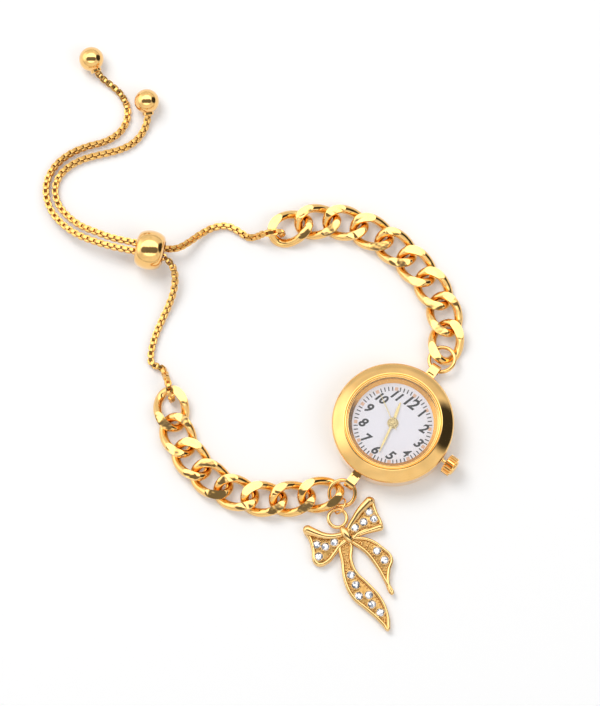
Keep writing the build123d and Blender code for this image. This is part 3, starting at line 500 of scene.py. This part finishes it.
def endBallPiece(name, node, path):
    # the ball's middle comes from its node, and the collar faces the chain
    low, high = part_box(node)
    middle = (Vector(low) + Vector(high)) / 2
    bm = bmesh.new()
    addBall(bm, endBall["radius"], Matrix.Translation(middle), 48, 32)
    near = min(path, key=lambda point: abs((point - middle).length - endBall["radius"] * mm))
    toward = (near - middle).normalized()
    turn = toward.to_track_quat("Z", "Y").to_matrix().to_4x4()
    turn.translation = middle
    foot = endBall["collarReach"] - endBall["collarSink"]
    end = endBall["collarReach"] + endBall["collarLength"]
    radius, edge = endBall["collarRadius"], endBall["collarEdge"]
    addSpun(bm, [(0, foot), (radius, foot), (radius, end - edge), (radius - edge, end), (0, end)], turn, 32)
    piece = finishPiece(name, bm, finishes["goldPlate"], "closure", 40)
    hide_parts(node)
    return piece


longBall = endBallPiece("end_ball_long", "ball_long", longPath)
tailBall = endBallPiece("end_ball_tail", "ball_tail", tailPath)


# Slider bead: a fat barrel with rolled mouths over its soft liner

sliderBead = {"middle": (-60.2, 0.24, 4.0), "heading": 24, "radius": 4.0, "halfLength": 2.8,
              "fullness": 1.95, "mouth": 2.15, "lip": 0.35}


def sliderBeadPiece():
    bead = sliderBead
    profile = [(bead["mouth"], -bead["halfLength"] + 2 * bead["lip"])]
    for share in shares(24):
        along = 2 * share - 1
        full = (1 - abs(along) ** bead["fullness"]) ** (1 / bead["fullness"])
        radius = bead["mouth"] + bead["lip"] + (bead["radius"] - bead["mouth"] - bead["lip"]) * full
        profile.append((radius, along * bead["halfLength"]))
    profile.append((bead["mouth"], bead["halfLength"] - 2 * bead["lip"]))
    bm = bmesh.new()
    place = moved(*bead["middle"]) @ turnZ(bead["heading"]) @ turnY(90)
    addSpun(bm, profile, place)
    piece = finishPiece("slider_barrel", bm, finishes["goldPlate"], "slider", 50)
    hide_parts("slider_bead")
    return piece


beadPiece = sliderBeadPiece()
print("closure made")


# Curb links: twisted ovals of round wire, ground flat on both faces

curbLink = {"halfLength": 3.9, "halfWidth": 2.75, "rise": 1.1, "wire": 0.9, "halfThickness": 1.45,
            "pitch": 5.7, "steps": 96, "facetEdge": 0.05, "facetArea": 1.5, "facetLift": 0.1,
            "facetLean": 4.0, "alongTurn": 2.4, "acrossTurn": 1.7, "acrossShare": 0.95,
            "acrossSpread": 0.35}

# where each row's first link lies, and the heading of every link in degrees
upperStart = (-1.5, 20.3)
upperHeadings = [118, 140, 158, 168, 177, 188, 203, 221, 238]
lowerStart = (-3.54, -19.55)
lowerHeadings = [228, 222, 212, 196, 178, 163, 148, 132]


def cutFacets(bm, height, normal):
    bmesh.ops.bisect_plane(bm, geom=bm.verts[:] + bm.edges[:] + bm.faces[:], clear_outer=True,
                           plane_co=(0, 0, height * mm), plane_no=normal)
    bmesh.ops.holes_fill(bm, edges=[edge for edge in bm.edges if edge.is_boundary])


def curbLinkMesh(lean):
    # the wheel leaves each of the two upper facets a slightly different lean, given in degrees
    link = curbLink
    points = []
    for step in range(link["steps"]):
        turn = 2 * math.pi * step / link["steps"]
        points.append((link["halfLength"] * math.cos(turn) * mm, link["halfWidth"] * math.sin(turn) * mm,
                       -link["rise"] * math.sin(2 * turn) * mm))
    bm = bmesh.new()
    addMesh(bm, curveMesh(points, closed=True, radius=link["wire"] * mm, sides=8))
    cutFacets(bm, -link["halfThickness"], (0, 0, -1))
    for side, (along, across) in zip((1, -1), lean):
        normal = (math.radians(along), side * math.radians(across), 1)
        cutFacets(bm, link["halfThickness"] + link["facetLift"], normal)
    facets = [face for face in bm.faces if face.calc_area() > link["facetArea"] * mm * mm]
    rims = list({edge for face in facets for edge in face.edges})
    roundEdges(bm, rims, link["facetEdge"], clamp=True)
    return savedMesh("curbLink", bm)


def linkPlaces(start, headings):
    x, y = start
    places = [(x, y, headings[0])]
    for before, heading in zip(headings, headings[1:]):
        for turn in (before, heading):
            along, across = polar(curbLink["pitch"] / 2, turn)
            x, y = x + along, y + across
        places.append((x, y, heading))
    return places


def facetLean(index, phase, turn):
    # one facet's lean along and across its link, which varies from link to link
    link = curbLink
    along = math.sin(link["alongTurn"] * index + phase + turn)
    across = link["acrossShare"] + link["acrossSpread"] * math.cos(link["acrossTurn"] * index + turn)
    return link["facetLean"] * along, link["facetLean"] * across


def curbRow(side, start, headings, phase):
    for index, (x, y, heading) in enumerate(linkPlaces(start, headings)):
        node = f"link_{side}_{index + 1}"
        lean = [facetLean(index, phase, turn) for turn in (0, 2)]
        bm = bmesh.new()
        addMesh(bm, curbLinkMesh(lean), moved(x, y, curbLink["halfThickness"]) @ turnZ(heading))
        piece = finishPiece(f"curb_{side}_{index + 1}", bm, finishes["goldLinks"], node, 25)
        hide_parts(node)


curbRow("upper", upperStart, upperHeadings, 0)
curbRow("lower", lowerStart, lowerHeadings, 1)
print("curb links made")


# Jump rings in the lugs

jumpRing = {"radius": 2.575, "wire": 0.405, "reach": 14.3, "height": 1.6}
# each ring's roll, pitch and yaw in degrees, its lift, and the turn to its side of the case
ringTurns = {"upper": (-12.2, -0.5, 0.5, 0, 0), "lower": (-8.5, -7.78, -5.27, 0.138, 180)}


def jumpRingPiece(side):
    roll, pitch, yaw, lift, turn = ringTurns[side]
    place = turnZ(turn) @ moved(0, jumpRing["reach"], jumpRing["height"] + lift)
    place = place @ turnZ(yaw) @ turnX(pitch) @ turnY(roll) @ moved(0, jumpRing["radius"])
    bm = bmesh.new()
    addRing(bm, jumpRing["radius"], jumpRing["wire"], place)
    piece = finishPiece(f"jump_ring_{side}", bm, finishes["goldPlate"], f"ring_{side}")
    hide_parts(f"ring_{side}")


jumpRingPiece("upper")
jumpRingPiece("lower")


# Bezel, with two fine beads round the glass, each given by its middle and its radius

bezel = {
    "outer": 12.2, "bottom": 5.0, "rim": 5.3, "crestRadius": 9.8, "crest": 7.0, "bulge": 0.07,
    "bulgeOut": 0.6, "bulgeUp": 0.8, "edge": 0.08, "flankFoot": 5.18, "crestOuter": 9.84,
    "crestInner": 9.74, "crestFlat": 6.99, "grooveRadius": 9.66, "beads": [(9.4, 0.2), (9.12, 0.08)],
    "beadFoot": 6.8, "beadRise": 0.85, "seatRadius": 9.25, "lipRadius": 9.02, "lipTop": 6.79,
    "lipBottom": 6.75, "ledgeRadius": 8.9,
    "ledgeTop": 6.03, "ledgeBottom": 5.65, "wallRadius": 10.0,
}


def bezelPiece():
    size = bezel
    outer, bottom, edge, foot = size["outer"], size["bottom"], size["edge"], size["beadFoot"]
    wall, seat, lip, ledge = size["wallRadius"], size["seatRadius"], size["lipRadius"], size["ledgeRadius"]
    profile = [(wall, bottom), (outer - edge, bottom), (outer, bottom + edge), (outer, size["flankFoot"])]
    run = outer - size["crestRadius"]
    rise = size["crest"] - size["rim"]
    for share in shares(12)[1:-1]:
        bulge = size["bulge"] * math.sin(math.pi * share)
        profile.append((outer - run * share + bulge * size["bulgeOut"],
                        size["rim"] + rise * share + bulge * size["bulgeUp"]))
    profile += [(size["crestOuter"], size["crestFlat"]), (size["crestInner"], size["crestFlat"]),
                (size["grooveRadius"], foot)]
    for middle, radius in size["beads"]:
        for share in shares(14)[1:-1]:
            across, rise = polar(radius, 180 * share)
            profile.append((middle + across, foot + rise * size["beadRise"]))
        profile.append((middle - radius, foot))
    profile += [(lip, size["lipTop"]), (lip, size["lipBottom"]), (seat, size["lipBottom"]),
                (seat, size["ledgeTop"]), (ledge, size["ledgeTop"]), (ledge, size["ledgeBottom"]),
                (wall, size["ledgeBottom"]), (wall, bottom)]
    bm = bmesh.new()
    addSpun(bm, profile, steps=160)
    piece = finishPiece("bezel_ring", bm, finishes["goldPlate"], "watch_head", 48)
    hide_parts("bezel")


bezelPiece()


# Crown with its flutes and domed end

crownShape = {"height": 3.3, "start": 13.1, "length": 1.9, "radius": 2.05, "edge": 0.18, "flutes": 22,
              "fluteSides": 8, "fluteDepth": 0.34, "fluteShape": 1.3, "dome": 0.5, "domeRadius": 1.55,
              "domeGap": 0.02, "domeFoot": 0.03, "domeWall": 0.12}


def crownPiece():
    size = crownShape
    bm = bmesh.new()
    half = size["length"] / 2
    place = moved(size["start"] + half, 0, size["height"]) @ turnY(90)
    radius, edge, dome, wall = size["radius"], size["edge"], size["domeRadius"], size["domeWall"]
    profile = [(0, -half), (radius - edge, -half)]
    profile += [(radius, -half + edge + (size["length"] - 2 * edge) * share) for share in shares(6)]
    profile += [(radius - edge, half), (dome + size["domeGap"], half), (dome, half + size["domeFoot"])]
    for share in shares(8):
        turn = math.pi / 2 * share
        profile.append((dome * math.cos(turn), half + wall + (size["dome"] - wall) * math.sin(turn)))
    for vert in addSpun(bm, profile, Matrix(), size["fluteSides"] * size["flutes"]):
        reach = math.hypot(vert.co.x, vert.co.y)
        if reach > (radius - 0.5 * edge) * mm:
            # a narrow groove between broad ribs
            turn = math.atan2(vert.co.y, vert.co.x) * size["flutes"]
            depth = size["fluteDepth"] * mm * max(0, math.cos(turn)) ** size["fluteShape"]
            vert.co.x *= 1 - depth / reach
            vert.co.y *= 1 - depth / reach
    bmesh.ops.transform(bm, matrix=place, verts=bm.verts)
    piece = finishPiece("crown_knob", bm, finishes["goldPlate"], "crown_turn", 40)
    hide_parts("crown")


crownPiece()
print("case pieces made")


# Dial printing

dialPrint = {"top": 5.0, "thickness": 0.012, "markReach": 7.42, "markSide": 0.68,
             "tickLength": 0.85, "tickWidth": 0.21, "numeralReach": 6.1, "numeralSize": 2.65, "slant": 0.28,
             "bold": 0.085, "thinBold": 0.3, "spacing": 0.86, "topNumeral": 1.2, "topReach": 5.8,
             "shift": (0.24, -0.36)}


def dialMarks():
    size = dialPrint
    middle = size["top"] + size["thickness"] / 2
    squares = bmesh.new()
    ticks = bmesh.new()
    for minute in range(60):
        place = moved(*size["shift"]) @ turnZ(-6 * minute) @ moved(0, size["markReach"], middle)
        marks, width, length = ticks, size["tickWidth"], size["tickLength"]
        if minute % 5 == 0:
            marks, width, length = squares, size["markSide"], size["markSide"]
        scale = Matrix.Diagonal((width * mm, length * mm, size["thickness"] * mm, 1))
        bmesh.ops.create_cube(marks, size=1, matrix=place @ scale)
    finishPiece("dial_hour_marks", squares, finishes["markInk"], "watch_head")
    finishPiece("dial_minute_ticks", ticks, finishes["printInk"], "watch_head")


def dialNumerals():
    size = dialPrint
    bm = bmesh.new()
    for hour in range(1, 13):
        text = bpy.data.curves.new("numeral", "FONT")
        text.body = str(hour)
        text.size = size["numeralSize"] * mm * (size["topNumeral"] if hour == 12 else 1)
        text.shear = size["slant"]
        # the 4 is drawn thinner than the others
        text.offset = size["bold"] * mm * (size["thinBold"] if hour == 4 else 1)
        text.align_x = "CENTER"
        text.align_y = "CENTER"
        text.space_character = size["spacing"]
        text.extrude = size["thickness"] / 2 * mm
        text.resolution_u = 4
        across, along = polar(size["topReach"] if hour == 12 else size["numeralReach"], 90 - 30 * hour)
        place = moved(*size["shift"]) @ moved(across, along, size["top"] + size["thickness"] / 2)
        addMesh(bm, meshOf(text), place)
    finishPiece("dial_numerals", bm, finishes["printInk"], "watch_head")


dialMarks()
dialNumerals()
print("dial printed")


# Hands: flat gilt batons with tapered ends

hands = {
    "hour": {"level": 5.14, "length": 4.4, "width": 0.62, "boss": 1.12, "turn": 344, "body": "hours"},
    "minute": {"level": 5.38, "length": 6.5, "width": 0.45, "boss": 0.82, "turn": 169, "body": "minutes"},
    "second": {"level": 5.6, "length": 6.4, "tail": 1.6, "width": 0.15, "boss": 0.42, "turn": 301,
               "body": "seconds"},
}
handShape = {"thickness": 0.12, "taper": 0.62, "tip": 0.35}
# the boss is a dished collar with a rolled edge: the distance in from its edge, and the height
bossProfile = [(0.03, 0), (0, 0.05), (0.06, 0.12), (0.16, 0.12), (0.24, 0.066)]
# the second hand's pin: radius and height
pinProfile = [(0.3, 0.06), (0.3, 0.264), (0.24, 0.312), (0.12, 0.312), (0.1, 0.264), (0, 0.264)]


def handPiece(name):
    hand = hands[name]
    bm = bmesh.new()
    half = hand["width"] / 2
    tip = half * handShape["tip"]
    taper = hand["length"] * handShape["taper"]
    tail = hand.get("tail", 0)
    outline = [(-half, -tail), (half, -tail), (half, taper), (tip, hand["length"]), (-tip, hand["length"]),
               (-half, taper)]
    face = bm.faces.new([bm.verts.new((x * mm, y * mm, 0)) for x, y in outline])
    rise = bmesh.ops.extrude_face_region(bm, geom=[face])["geom"]
    bmesh.ops.translate(bm, verts=[item for item in rise if isinstance(item, bmesh.types.BMVert)],
                        vec=(0, 0, handShape["thickness"] * mm))
    collar = [(hand["boss"] - inset, height) for inset, height in bossProfile]
    addSpun(bm, [(0, 0)] + collar + [(0, collar[-1][1])], steps=48)
    if name == "second":
        addSpun(bm, pinProfile, steps=32)
    bmesh.ops.transform(bm, matrix=turnZ(-hand["turn"]) @ moved(0, 0, hand["level"]), verts=bm.verts)
    piece = finishPiece(f"{name}_hand_blade", bm, finishes["paleGold"], hand["body"], 30)
    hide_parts(f"{name}_hand")


for name in hands:
    handPiece(name)
print("hands made")


# Bow charm, drawn in its own plane with x to the right and y up

bow = {"middle": (5.36, -23.19), "turn": 36, "floor": 0.2, "plateTop": 1.08, "edge": 0.15, "rimHeight": 1.28,
       "loopRim": 0.42, "tailRim": 0.35, "castInset": 1.2, "castRise": 0.03, "castEdge": 0.02, "sink": 0.1,
       "foldFoot": 0.95, "foldShare": 0.8, "knotHeight": 1.3, "knotTurn": -58, "knotSize": (2.1, 0.98, 1.2),
       "eye": (-1.73, 3.33, 1.27), "eyeRadius": 1.82, "eyeWire": 0.375}
bowPlace = moved(*bow["middle"]) @ turnZ(bow["turn"])
grains = {"radius": 0.22, "rowRadius": 0.3, "spacing": 0.62, "inset": 0.22, "lift": 0.1, "stoneClear": 1.12,
          "rimClear": 0.1}
# the raised seat of a stone, with the four claws round it
setting = {"rise": 0.2, "lift": 0.16, "foot": 1.0, "outer": 0.96, "inner": 0.89, "bore": 0.84,
           "claw": 0.21, "clawReach": 0.92, "clawLift": 0.26, "clawTurn": 17, "stoneSink": 0.05,
           "stoneTurn": (31, 13), "layer": 0.2}
# the cut of a stone from below: facets, lower and upper radius, the middle's height, and a flat top
stoneCut = [(16, 0.5, 0.87, 0.1, False), (16, 0.87, 0.74, 0.3, False), (8, 0.75, 0.45, 0.48, True)]
leftLoop = [
    (0.4, 0.9), (-1.6, 0.0), (-3.5, -0.2), (-5.6, 0.4), (-7.9, 1.75), (-8.55, 1.1), (-7.5, -1.1),
    (-6.9, -3.3), (-6.6, -5.5), (-5.4, -6.4), (-3.6, -5.8), (-2.0, -4.0), (-1.1, -2.7), (0.4, -1.3),
]
rightLoop = [
    (0.1, 1.4), (1.0, 3.0), (2.5, 5.4), (4.3, 7.6), (5.4, 7.5), (5.7, 6.4), (6.3, 4.5), (7.3, 2.3),
    (7.2, 1.2), (5.9, 0.9), (4.0, 0.5), (2.4, -0.3), (1.0, -1.0),
]
longTail = [
    (-0.9, -1.2), (1.0, -1.6), (1.3, -5.0), (2.2, -7.4), (4.4, -9.6), (7.0, -12.6), (8.4, -15.8),
    (8.7, -18.2), (8.3, -19.4), (7.3, -18.5), (5.8, -16.9), (3.6, -15.0), (1.2, -12.9), (-0.4, -9.8),
    (-1.0, -6.0),
]
shortTail = [
    (-0.8, -0.4), (1.6, -0.3), (4.6, -0.7), (7.2, -2.3), (9.3, -4.7), (8.8, -7.2), (8.7, -9.8),
    (9.4, -11.8), (8.9, -11.9), (7.5, -9.4), (5.8, -6.4), (3.6, -3.6), (1.2, -1.9),
]
stones = [
    (-5.85, -2.0), (-4.16, -2.44), (-2.38, -1.55), (-5.46, -4.43), (1.73, 1.44), (3.47, 2.55),
    (4.55, 4.66), (5.53, 3.21), (0.93, -8.16), (1.89, -10.15), (2.49, -12.42), (4.51, -12.19),
    (5.09, -14.08), (6.76, -15.74), (6.11, -3.28), (7.63, -5.14),
]
# folded ribbon edges: the places along each fold and the fold's radius there
folds = [
    [(-0.6, 0.1, 0.5), (-2.4, -0.45, 0.6), (-4.4, -0.35, 0.72), (-6.2, 0.25, 0.9), (-7.7, 0.9, 0.98)],
    [(0.5, 1.3, 0.45), (1.5, 3.0, 0.6), (2.95, 5.15, 0.84), (4.6, 6.75, 0.92)],
    [(1.4, -0.4, 0.35), (3.2, 0.35, 0.42), (5.1, 0.95, 0.6), (6.7, 1.45, 0.74)],
]
# short rows of larger grains that lead out from the knot
grainRows = [
    [(0.2, -2.6), (0.25, -4.0), (0.35, -5.4), (0.6, -6.7)],
    [(3.1, -1.7), (4.2, -2.2), (5.0, -2.7)],
    [(1.9, 2.9), (2.7, 4.0), (3.5, 5.3)],
    [(-1.3, -1.2), (-1.7, -2.3), (-2.7, -3.6)],
]


def bezierLoop(curve, places):
    # a closed smooth course through the places
    spline = curve.splines.new("BEZIER")
    spline.bezier_points.add(len(places) - 1)
    for knot, place in zip(spline.bezier_points, places):
        knot.co = place
        knot.handle_left_type = "AUTO"
        knot.handle_right_type = "AUTO"
    spline.use_cyclic_u = True
    curve.resolution_u = 8


def flatCurve(points, bottom, top, edge):
    # a filled outline with rounded edges, from the floor to its top
    curve = bpy.data.curves.new("outline", "CURVE")
    curve.dimensions = "2D"
    curve.fill_mode = "BOTH"
    bezierLoop(curve, [(x * mm, y * mm, 0) for x, y in points])
    curve.offset = -edge * mm
    curve.bevel_depth = edge * mm
    curve.bevel_resolution = 2
    curve.extrude = ((top - bottom) / 2 - edge) * mm
    mesh = meshOf(curve)
    mesh.transform(moved(0, 0, (bottom + top) / 2))
    return mesh


def insetLoop(points, distance, height):
    # the outline drawn in by the given distance
    area = sum(a[0] * b[1] - b[0] * a[1] for a, b in zip(points, points[1:] + points[:1]))
    sign = 1 if area > 0 else -1
    loop = []
    for index, (x, y) in enumerate(points):
        before, after = points[index - 1], points[(index + 1) % len(points)]
        run = Vector((after[0] - before[0], after[1] - before[1])).normalized()
        loop.append(((x - run.y * distance * sign) * mm, (y + run.x * distance * sign) * mm, height * mm))
    return loop


def closedWire(points, radius):
    curve = bpy.data.curves.new("rim", "CURVE")
    curve.dimensions = "3D"
    bezierLoop(curve, points)
    curve.bevel_depth = radius * mm
    curve.bevel_resolution = 4
    return meshOf(curve)


def insideLoop(outline, distance):
    # the drawn-in outline as plain points in millimetres
    return [(x / mm, y / mm) for x, y, z in insetLoop(outline, distance, 0)]


def grainPlaces(outline, rim):
    # places for the grains inside a rim, clear of the stones and of the rim itself
    rimPath = [vert.co.copy() for vert in closedWire(insetLoop(outline, 0, 0), 0).vertices]
    inset = 2 * rim + grains["inset"]
    path = [vert.co.copy() for vert in closedWire(insetLoop(outline, inset, 0), 0).vertices]
    places = []
    for place, along in evenSteps(path + path[:1], grains["spacing"] * mm):
        fromStone = min(math.hypot(place.x / mm - x, place.y / mm - y) for x, y in stones)
        fromRim = min((place - point).length for point in rimPath) / mm
        if fromStone > grains["stoneClear"] and fromRim > 2 * rim + grains["rimClear"]:
            places.append((place.x / mm, place.y / mm))
    return places


def addSetting(bm, x, y):
    size = setting
    low, base = bow["plateTop"] - bow["sink"], bow["plateTop"] + size["rise"]
    high = base + size["lift"]
    addSpun(bm, [(size["foot"], low), (size["outer"], high), (size["inner"], high), (size["bore"], low)],
            moved(x, y), 24)
    for corner in range(4):
        along, across = polar(size["clawReach"], 45 + 90 * corner + size["clawTurn"] * x)
        addBall(bm, size["claw"], moved(x + along, y + across, base + size["clawLift"]), 10, 8)


def bowPiece():
    bm = bmesh.new()
    floor = bmesh.new()
    top = bow["plateTop"]
    for outline, rim in ((leftLoop, bow["loopRim"]), (rightLoop, bow["loopRim"]),
                         (longTail, bow["tailRim"]), (shortTail, bow["tailRim"])):
        addMesh(bm, flatCurve(outline, bow["floor"], top, bow["edge"]))
        addMesh(bm, closedWire(insetLoop(outline, rim, bow["rimHeight"]), rim))
        addMesh(floor, flatCurve(insideLoop(outline, rim * bow["castInset"]), top - bow["sink"],
                                 top + bow["castRise"], bow["castEdge"]))
        for x, y in grainPlaces(outline, rim):
            addBall(bm, grains["radius"], moved(x, y, top + grains["lift"]), 8, 6)
    for fold in folds:
        places = [(x, y, bow["foldFoot"] + radius * bow["foldShare"]) for x, y, radius in fold]
        radii = [radius for x, y, radius in fold]
        wire = [tuple(value * mm for value in place) for place in places]
        addMesh(bm, curveMesh(wire, "NURBS", radius=mm, sides=6, radii=radii, steps=8))
        for end in (0, -1):
            addBall(bm, radii[end], moved(*places[end]), 24, 16)
    knot = moved(0, 0, bow["knotHeight"]) @ turnZ(bow["knotTurn"]) @ Matrix.Diagonal((*bow["knotSize"], 1))
    addBall(bm, 1, knot, 40, 24)
    addRing(bm, bow["eyeRadius"], bow["eyeWire"], moved(*bow["eye"]), 56, 16)
    for row in grainRows:
        for x, y in row:
            addBall(bm, grains["rowRadius"], moved(x, y, top + grains["lift"]), 12, 8)
    for x, y in stones:
        addSetting(bm, x, y)
    bmesh.ops.transform(floor, matrix=bowPlace, verts=floor.verts)
    # the sunken floors take the grained finish with its painted shade
    finishPiece("bow_floor", floor, finishes["goldGrainedPaintedShade"], "charm", 45)
    bmesh.ops.transform(bm, matrix=bowPlace, verts=bm.verts)
    bmesh.ops.recalc_face_normals(bm, faces=bm.faces)
    piece = finishMesh("bow_ribbon", savedMesh("bow", bm), finishes["goldCast"], "charm", 45)
    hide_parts("bow_charm")


def stonesPiece():
    # round brilliants: a flat table, eight star facets and sixteen girdle facets
    bm = bmesh.new()
    turnAcross, turnAlong = setting["stoneTurn"]
    bottom = bow["plateTop"] + setting["rise"] - setting["stoneSink"]
    for x, y in stones:
        seat = bowPlace @ moved(x, y) @ turnZ(turnAcross * x + turnAlong * y)
        for facets, lower, upper, height, capped in stoneCut:
            bmesh.ops.create_cone(bm, cap_ends=capped, segments=facets, radius1=lower * mm,
                                  radius2=upper * mm, depth=setting["layer"] * mm,
                                  matrix=seat @ moved(0, 0, bottom + height))
    piece = addPiece("cut_stones", savedMesh("stones", bm), finishes["cutCrystal"], "charm")
    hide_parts("charm_stones")


bowPiece()
stonesPiece()


charmRing = {"middle": (1.07, -19.275, 1.68), "heading": -76.5, "lean": -28.5, "radius": 1.65, "wire": 0.2}


def charmRingPiece():
    size = charmRing
    place = moved(*size["middle"]) @ turnZ(size["heading"]) @ turnX(90 + size["lean"])
    bm = bmesh.new()
    addRing(bm, size["radius"], size["wire"], place, 56, 14)
    piece = finishPiece("charm_link_ring", bm, finishes["goldPlate"], "charm_ring")
    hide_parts("charm_ring")


charmRingPiece()
print("charm made")


# The CAD nodes that keep their shape get their finishes

nodeFinishes = {
    "goldPlate": ["case_body", "setting_stem", "crown_tube"],
    "goldStamped": ["dial_ring"],
    "brushedSteel": ["case_back"],
    "turnedSteel": ["battery_strap", "stator"],
    "nickelSteel": ["battery"],
    "plateBrass": ["main_plate", "train_bridge", "seconds_wheel", "step_wheel", "third_wheel",
                   "centre_wheel", "minute_wheel", "hour_wheel"],
    "copperWinding": ["coil"],
    "sinteredMagnet": ["rotor"],
    "dialLacquer": ["dial"],
    "sealRubber": ["back_gasket", "crown_gasket"],
    "amberNylon": ["crystal_gasket"],
    "linerRubber": ["slider_liner"],
    "holderPlastic": ["movement_holder"],
    "boardMask": ["circuit_board"],
    "watchGlass": ["crystal"],
}
for finish, names in nodeFinishes.items():
    for name in names:
        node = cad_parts[name]
        for index in range(len(node.data.materials)):
            node.material_slots[index].link = "OBJECT"
            node.material_slots[index].material = finishes[finish]
print("nodes finished")


# Pale floor and plain soft light

light = {"floor": "#F7F7F7", "floorSize": 3, "floorDrop": 0.02, "floorGlow": 0.1, "plainSky": 0.64,
         "paper": 0.97, "key": 3.3, "keySize": 0.5, "fillShare": 0.3}
# parts of the tent: where each lies to the picture's right, up the picture and up, the cosines that it
# fades between, and its level outside and inside
tentParts = {
    "top": ((0, 0, 1), 0.62, 0.74, 1.12, 2.9),
    "wall": ((0, 0, 1), 0.1, 0.2, 0.8, 1.0),
    "bright": ((-0.85, 0.25, 0.42), 0.78, 0.98, 0.0, 0.9),
    "gap": ((0.9, 0.1, 0.36), 0.86, 0.95, 1.0, 0.05),
}
# the dark room round the camera, wider across than up
lensPart = {"sides": (-0.55, -0.28, 0, 0.28, 0.5), "fade": (0.915, 0.972), "levels": (1.0, 0.08)}


def makeFloor():
    bm = bmesh.new()
    bmesh.ops.create_grid(bm, x_segments=1, y_segments=1, size=light["floorSize"])
    mesh = savedMesh("floor", bm)
    material, tree = newMaterial("matteWhitePaper")
    # the paper keeps its shadows, and the camera and the metal see it a touch whiter
    ray = addNode(tree, "LightPath")
    seen = addNode(tree, "Math", {"operation": "MAXIMUM"},
                   {0: ray.outputs["Is Camera Ray"], 1: ray.outputs["Is Glossy Ray"]})
    glow = addNode(tree, "Math", {"operation": "MULTIPLY"}, {0: seen.outputs[0]})
    glow.inputs[1].default_value = light["floorGlow"]
    shader = addNode(tree, "BsdfPrincipled",
                     {"Base Color": linear(light["floor"]), "Roughness": 0.9,
                      "Emission Color": (1, 1, 1, 1)},
                     {"Emission Strength": glow.outputs[0]})
    closeMaterial(tree, shader)
    mesh.materials.append(material)
    floor = bpy.data.objects.new("floor", mesh)
    floor.location.z = -light["floorDrop"] * mm
    bpy.context.scene.collection.objects.link(floor)


def makeWorld():
    # plain light on the object; the metal sees a tent with a bright top, dimmer sides, a bright patch to
    # the left, a dark gap to the right and the dark room round the camera
    world = bpy.data.worlds.new("studio")
    bpy.context.scene.world = world
    world.use_nodes = True
    tree = world.node_tree
    tree.nodes.clear()
    right, up = pictureAxes()
    place = addNode(tree, "TexCoord")
    sky = place.outputs["Generated"]

    def toward(direction, low, high, outside, inside):
        facing = addNode(tree, "VectorMath", {"operation": "DOT_PRODUCT"}, {0: sky})
        facing.inputs[1].default_value = direction.normalized()
        return addNode(tree, "MapRange",
                       {"interpolation_type": "SMOOTHSTEP", "From Min": low, "From Max": high,
                        "To Min": outside, "To Max": inside}, {"Value": facing.outputs["Value"]}).outputs[0]

    def combine(operation, first, second):
        return addNode(tree, "Math", {"operation": operation}, {0: first, 1: second}).outputs[0]

    parts = {}
    for name, ((across, along, above), *fade) in tentParts.items():
        parts[name] = toward(right * across + up * along + Vector((0, 0, above)), *fade)
    lens = None
    for side in lensPart["sides"]:
        part = toward(towardCamera + right * side, *lensPart["fade"], *lensPart["levels"])
        lens = combine("MINIMUM", lens, part) if lens else part
    cloud = addNode(tree, "TexNoise", {"Scale": 2.2, "Detail": 1.0}, {"Vector": sky})
    patchy = addNode(tree, "MapRange",
                     {"From Min": 0.38, "From Max": 0.62, "To Min": 0.92, "To Max": 1.12},
                     {"Value": cloud.outputs[0]}).outputs[0]
    level = combine("ADD", combine("MULTIPLY", parts["top"], parts["wall"]), parts["bright"])
    level = combine("MULTIPLY", level, patchy)
    level = combine("MULTIPLY", combine("MULTIPLY", level, parts["gap"]), lens)
    tent = addNode(tree, "Background", links={"Strength": level})
    plain = addNode(tree, "Background", {"Strength": light["plainSky"]})
    paper = addNode(tree, "Background", {"Strength": light["paper"]})
    ray = addNode(tree, "LightPath")
    mix = plain
    for rays, seen in (("Is Glossy Ray", tent), ("Is Camera Ray", paper)):
        mix = addNode(tree, "MixShader",
                      links={0: ray.outputs[rays], 1: mix.outputs[0], 2: seen.outputs[0]})
    addNode(tree, "OutputWorld", links={"Surface": mix.outputs[0]})


def addLamp(name, offset, power, size):
    # offset is to the picture's right, up the picture and up, in metres
    right, up = pictureAxes()
    place = aim + right * offset[0] + up * offset[1] + Vector((0, 0, offset[2]))
    lamp = bpy.data.lights.new(name, "AREA")
    lamp.shape = "DISK"
    lamp.size = size
    lamp.energy = power
    holder = bpy.data.objects.new(name, lamp)
    holder.location = place
    holder.rotation_euler = (place - aim).to_track_quat("Z", "Y").to_euler()
    holder.visible_glossy = False  # the metal mirrors the tent alone, with no lamp discs in it
    bpy.context.scene.collection.objects.link(holder)


makeFloor()
makeWorld()
addLamp("softboxKey", (-0.3, 0.35, 0.7), light["key"], light["keySize"])
addLamp("softboxFill", (0.45, -0.2, 0.6), light["key"] * light["fillShare"], light["keySize"])
bpy.context.scene.view_settings.view_transform = "Standard"
print("stage and light set")
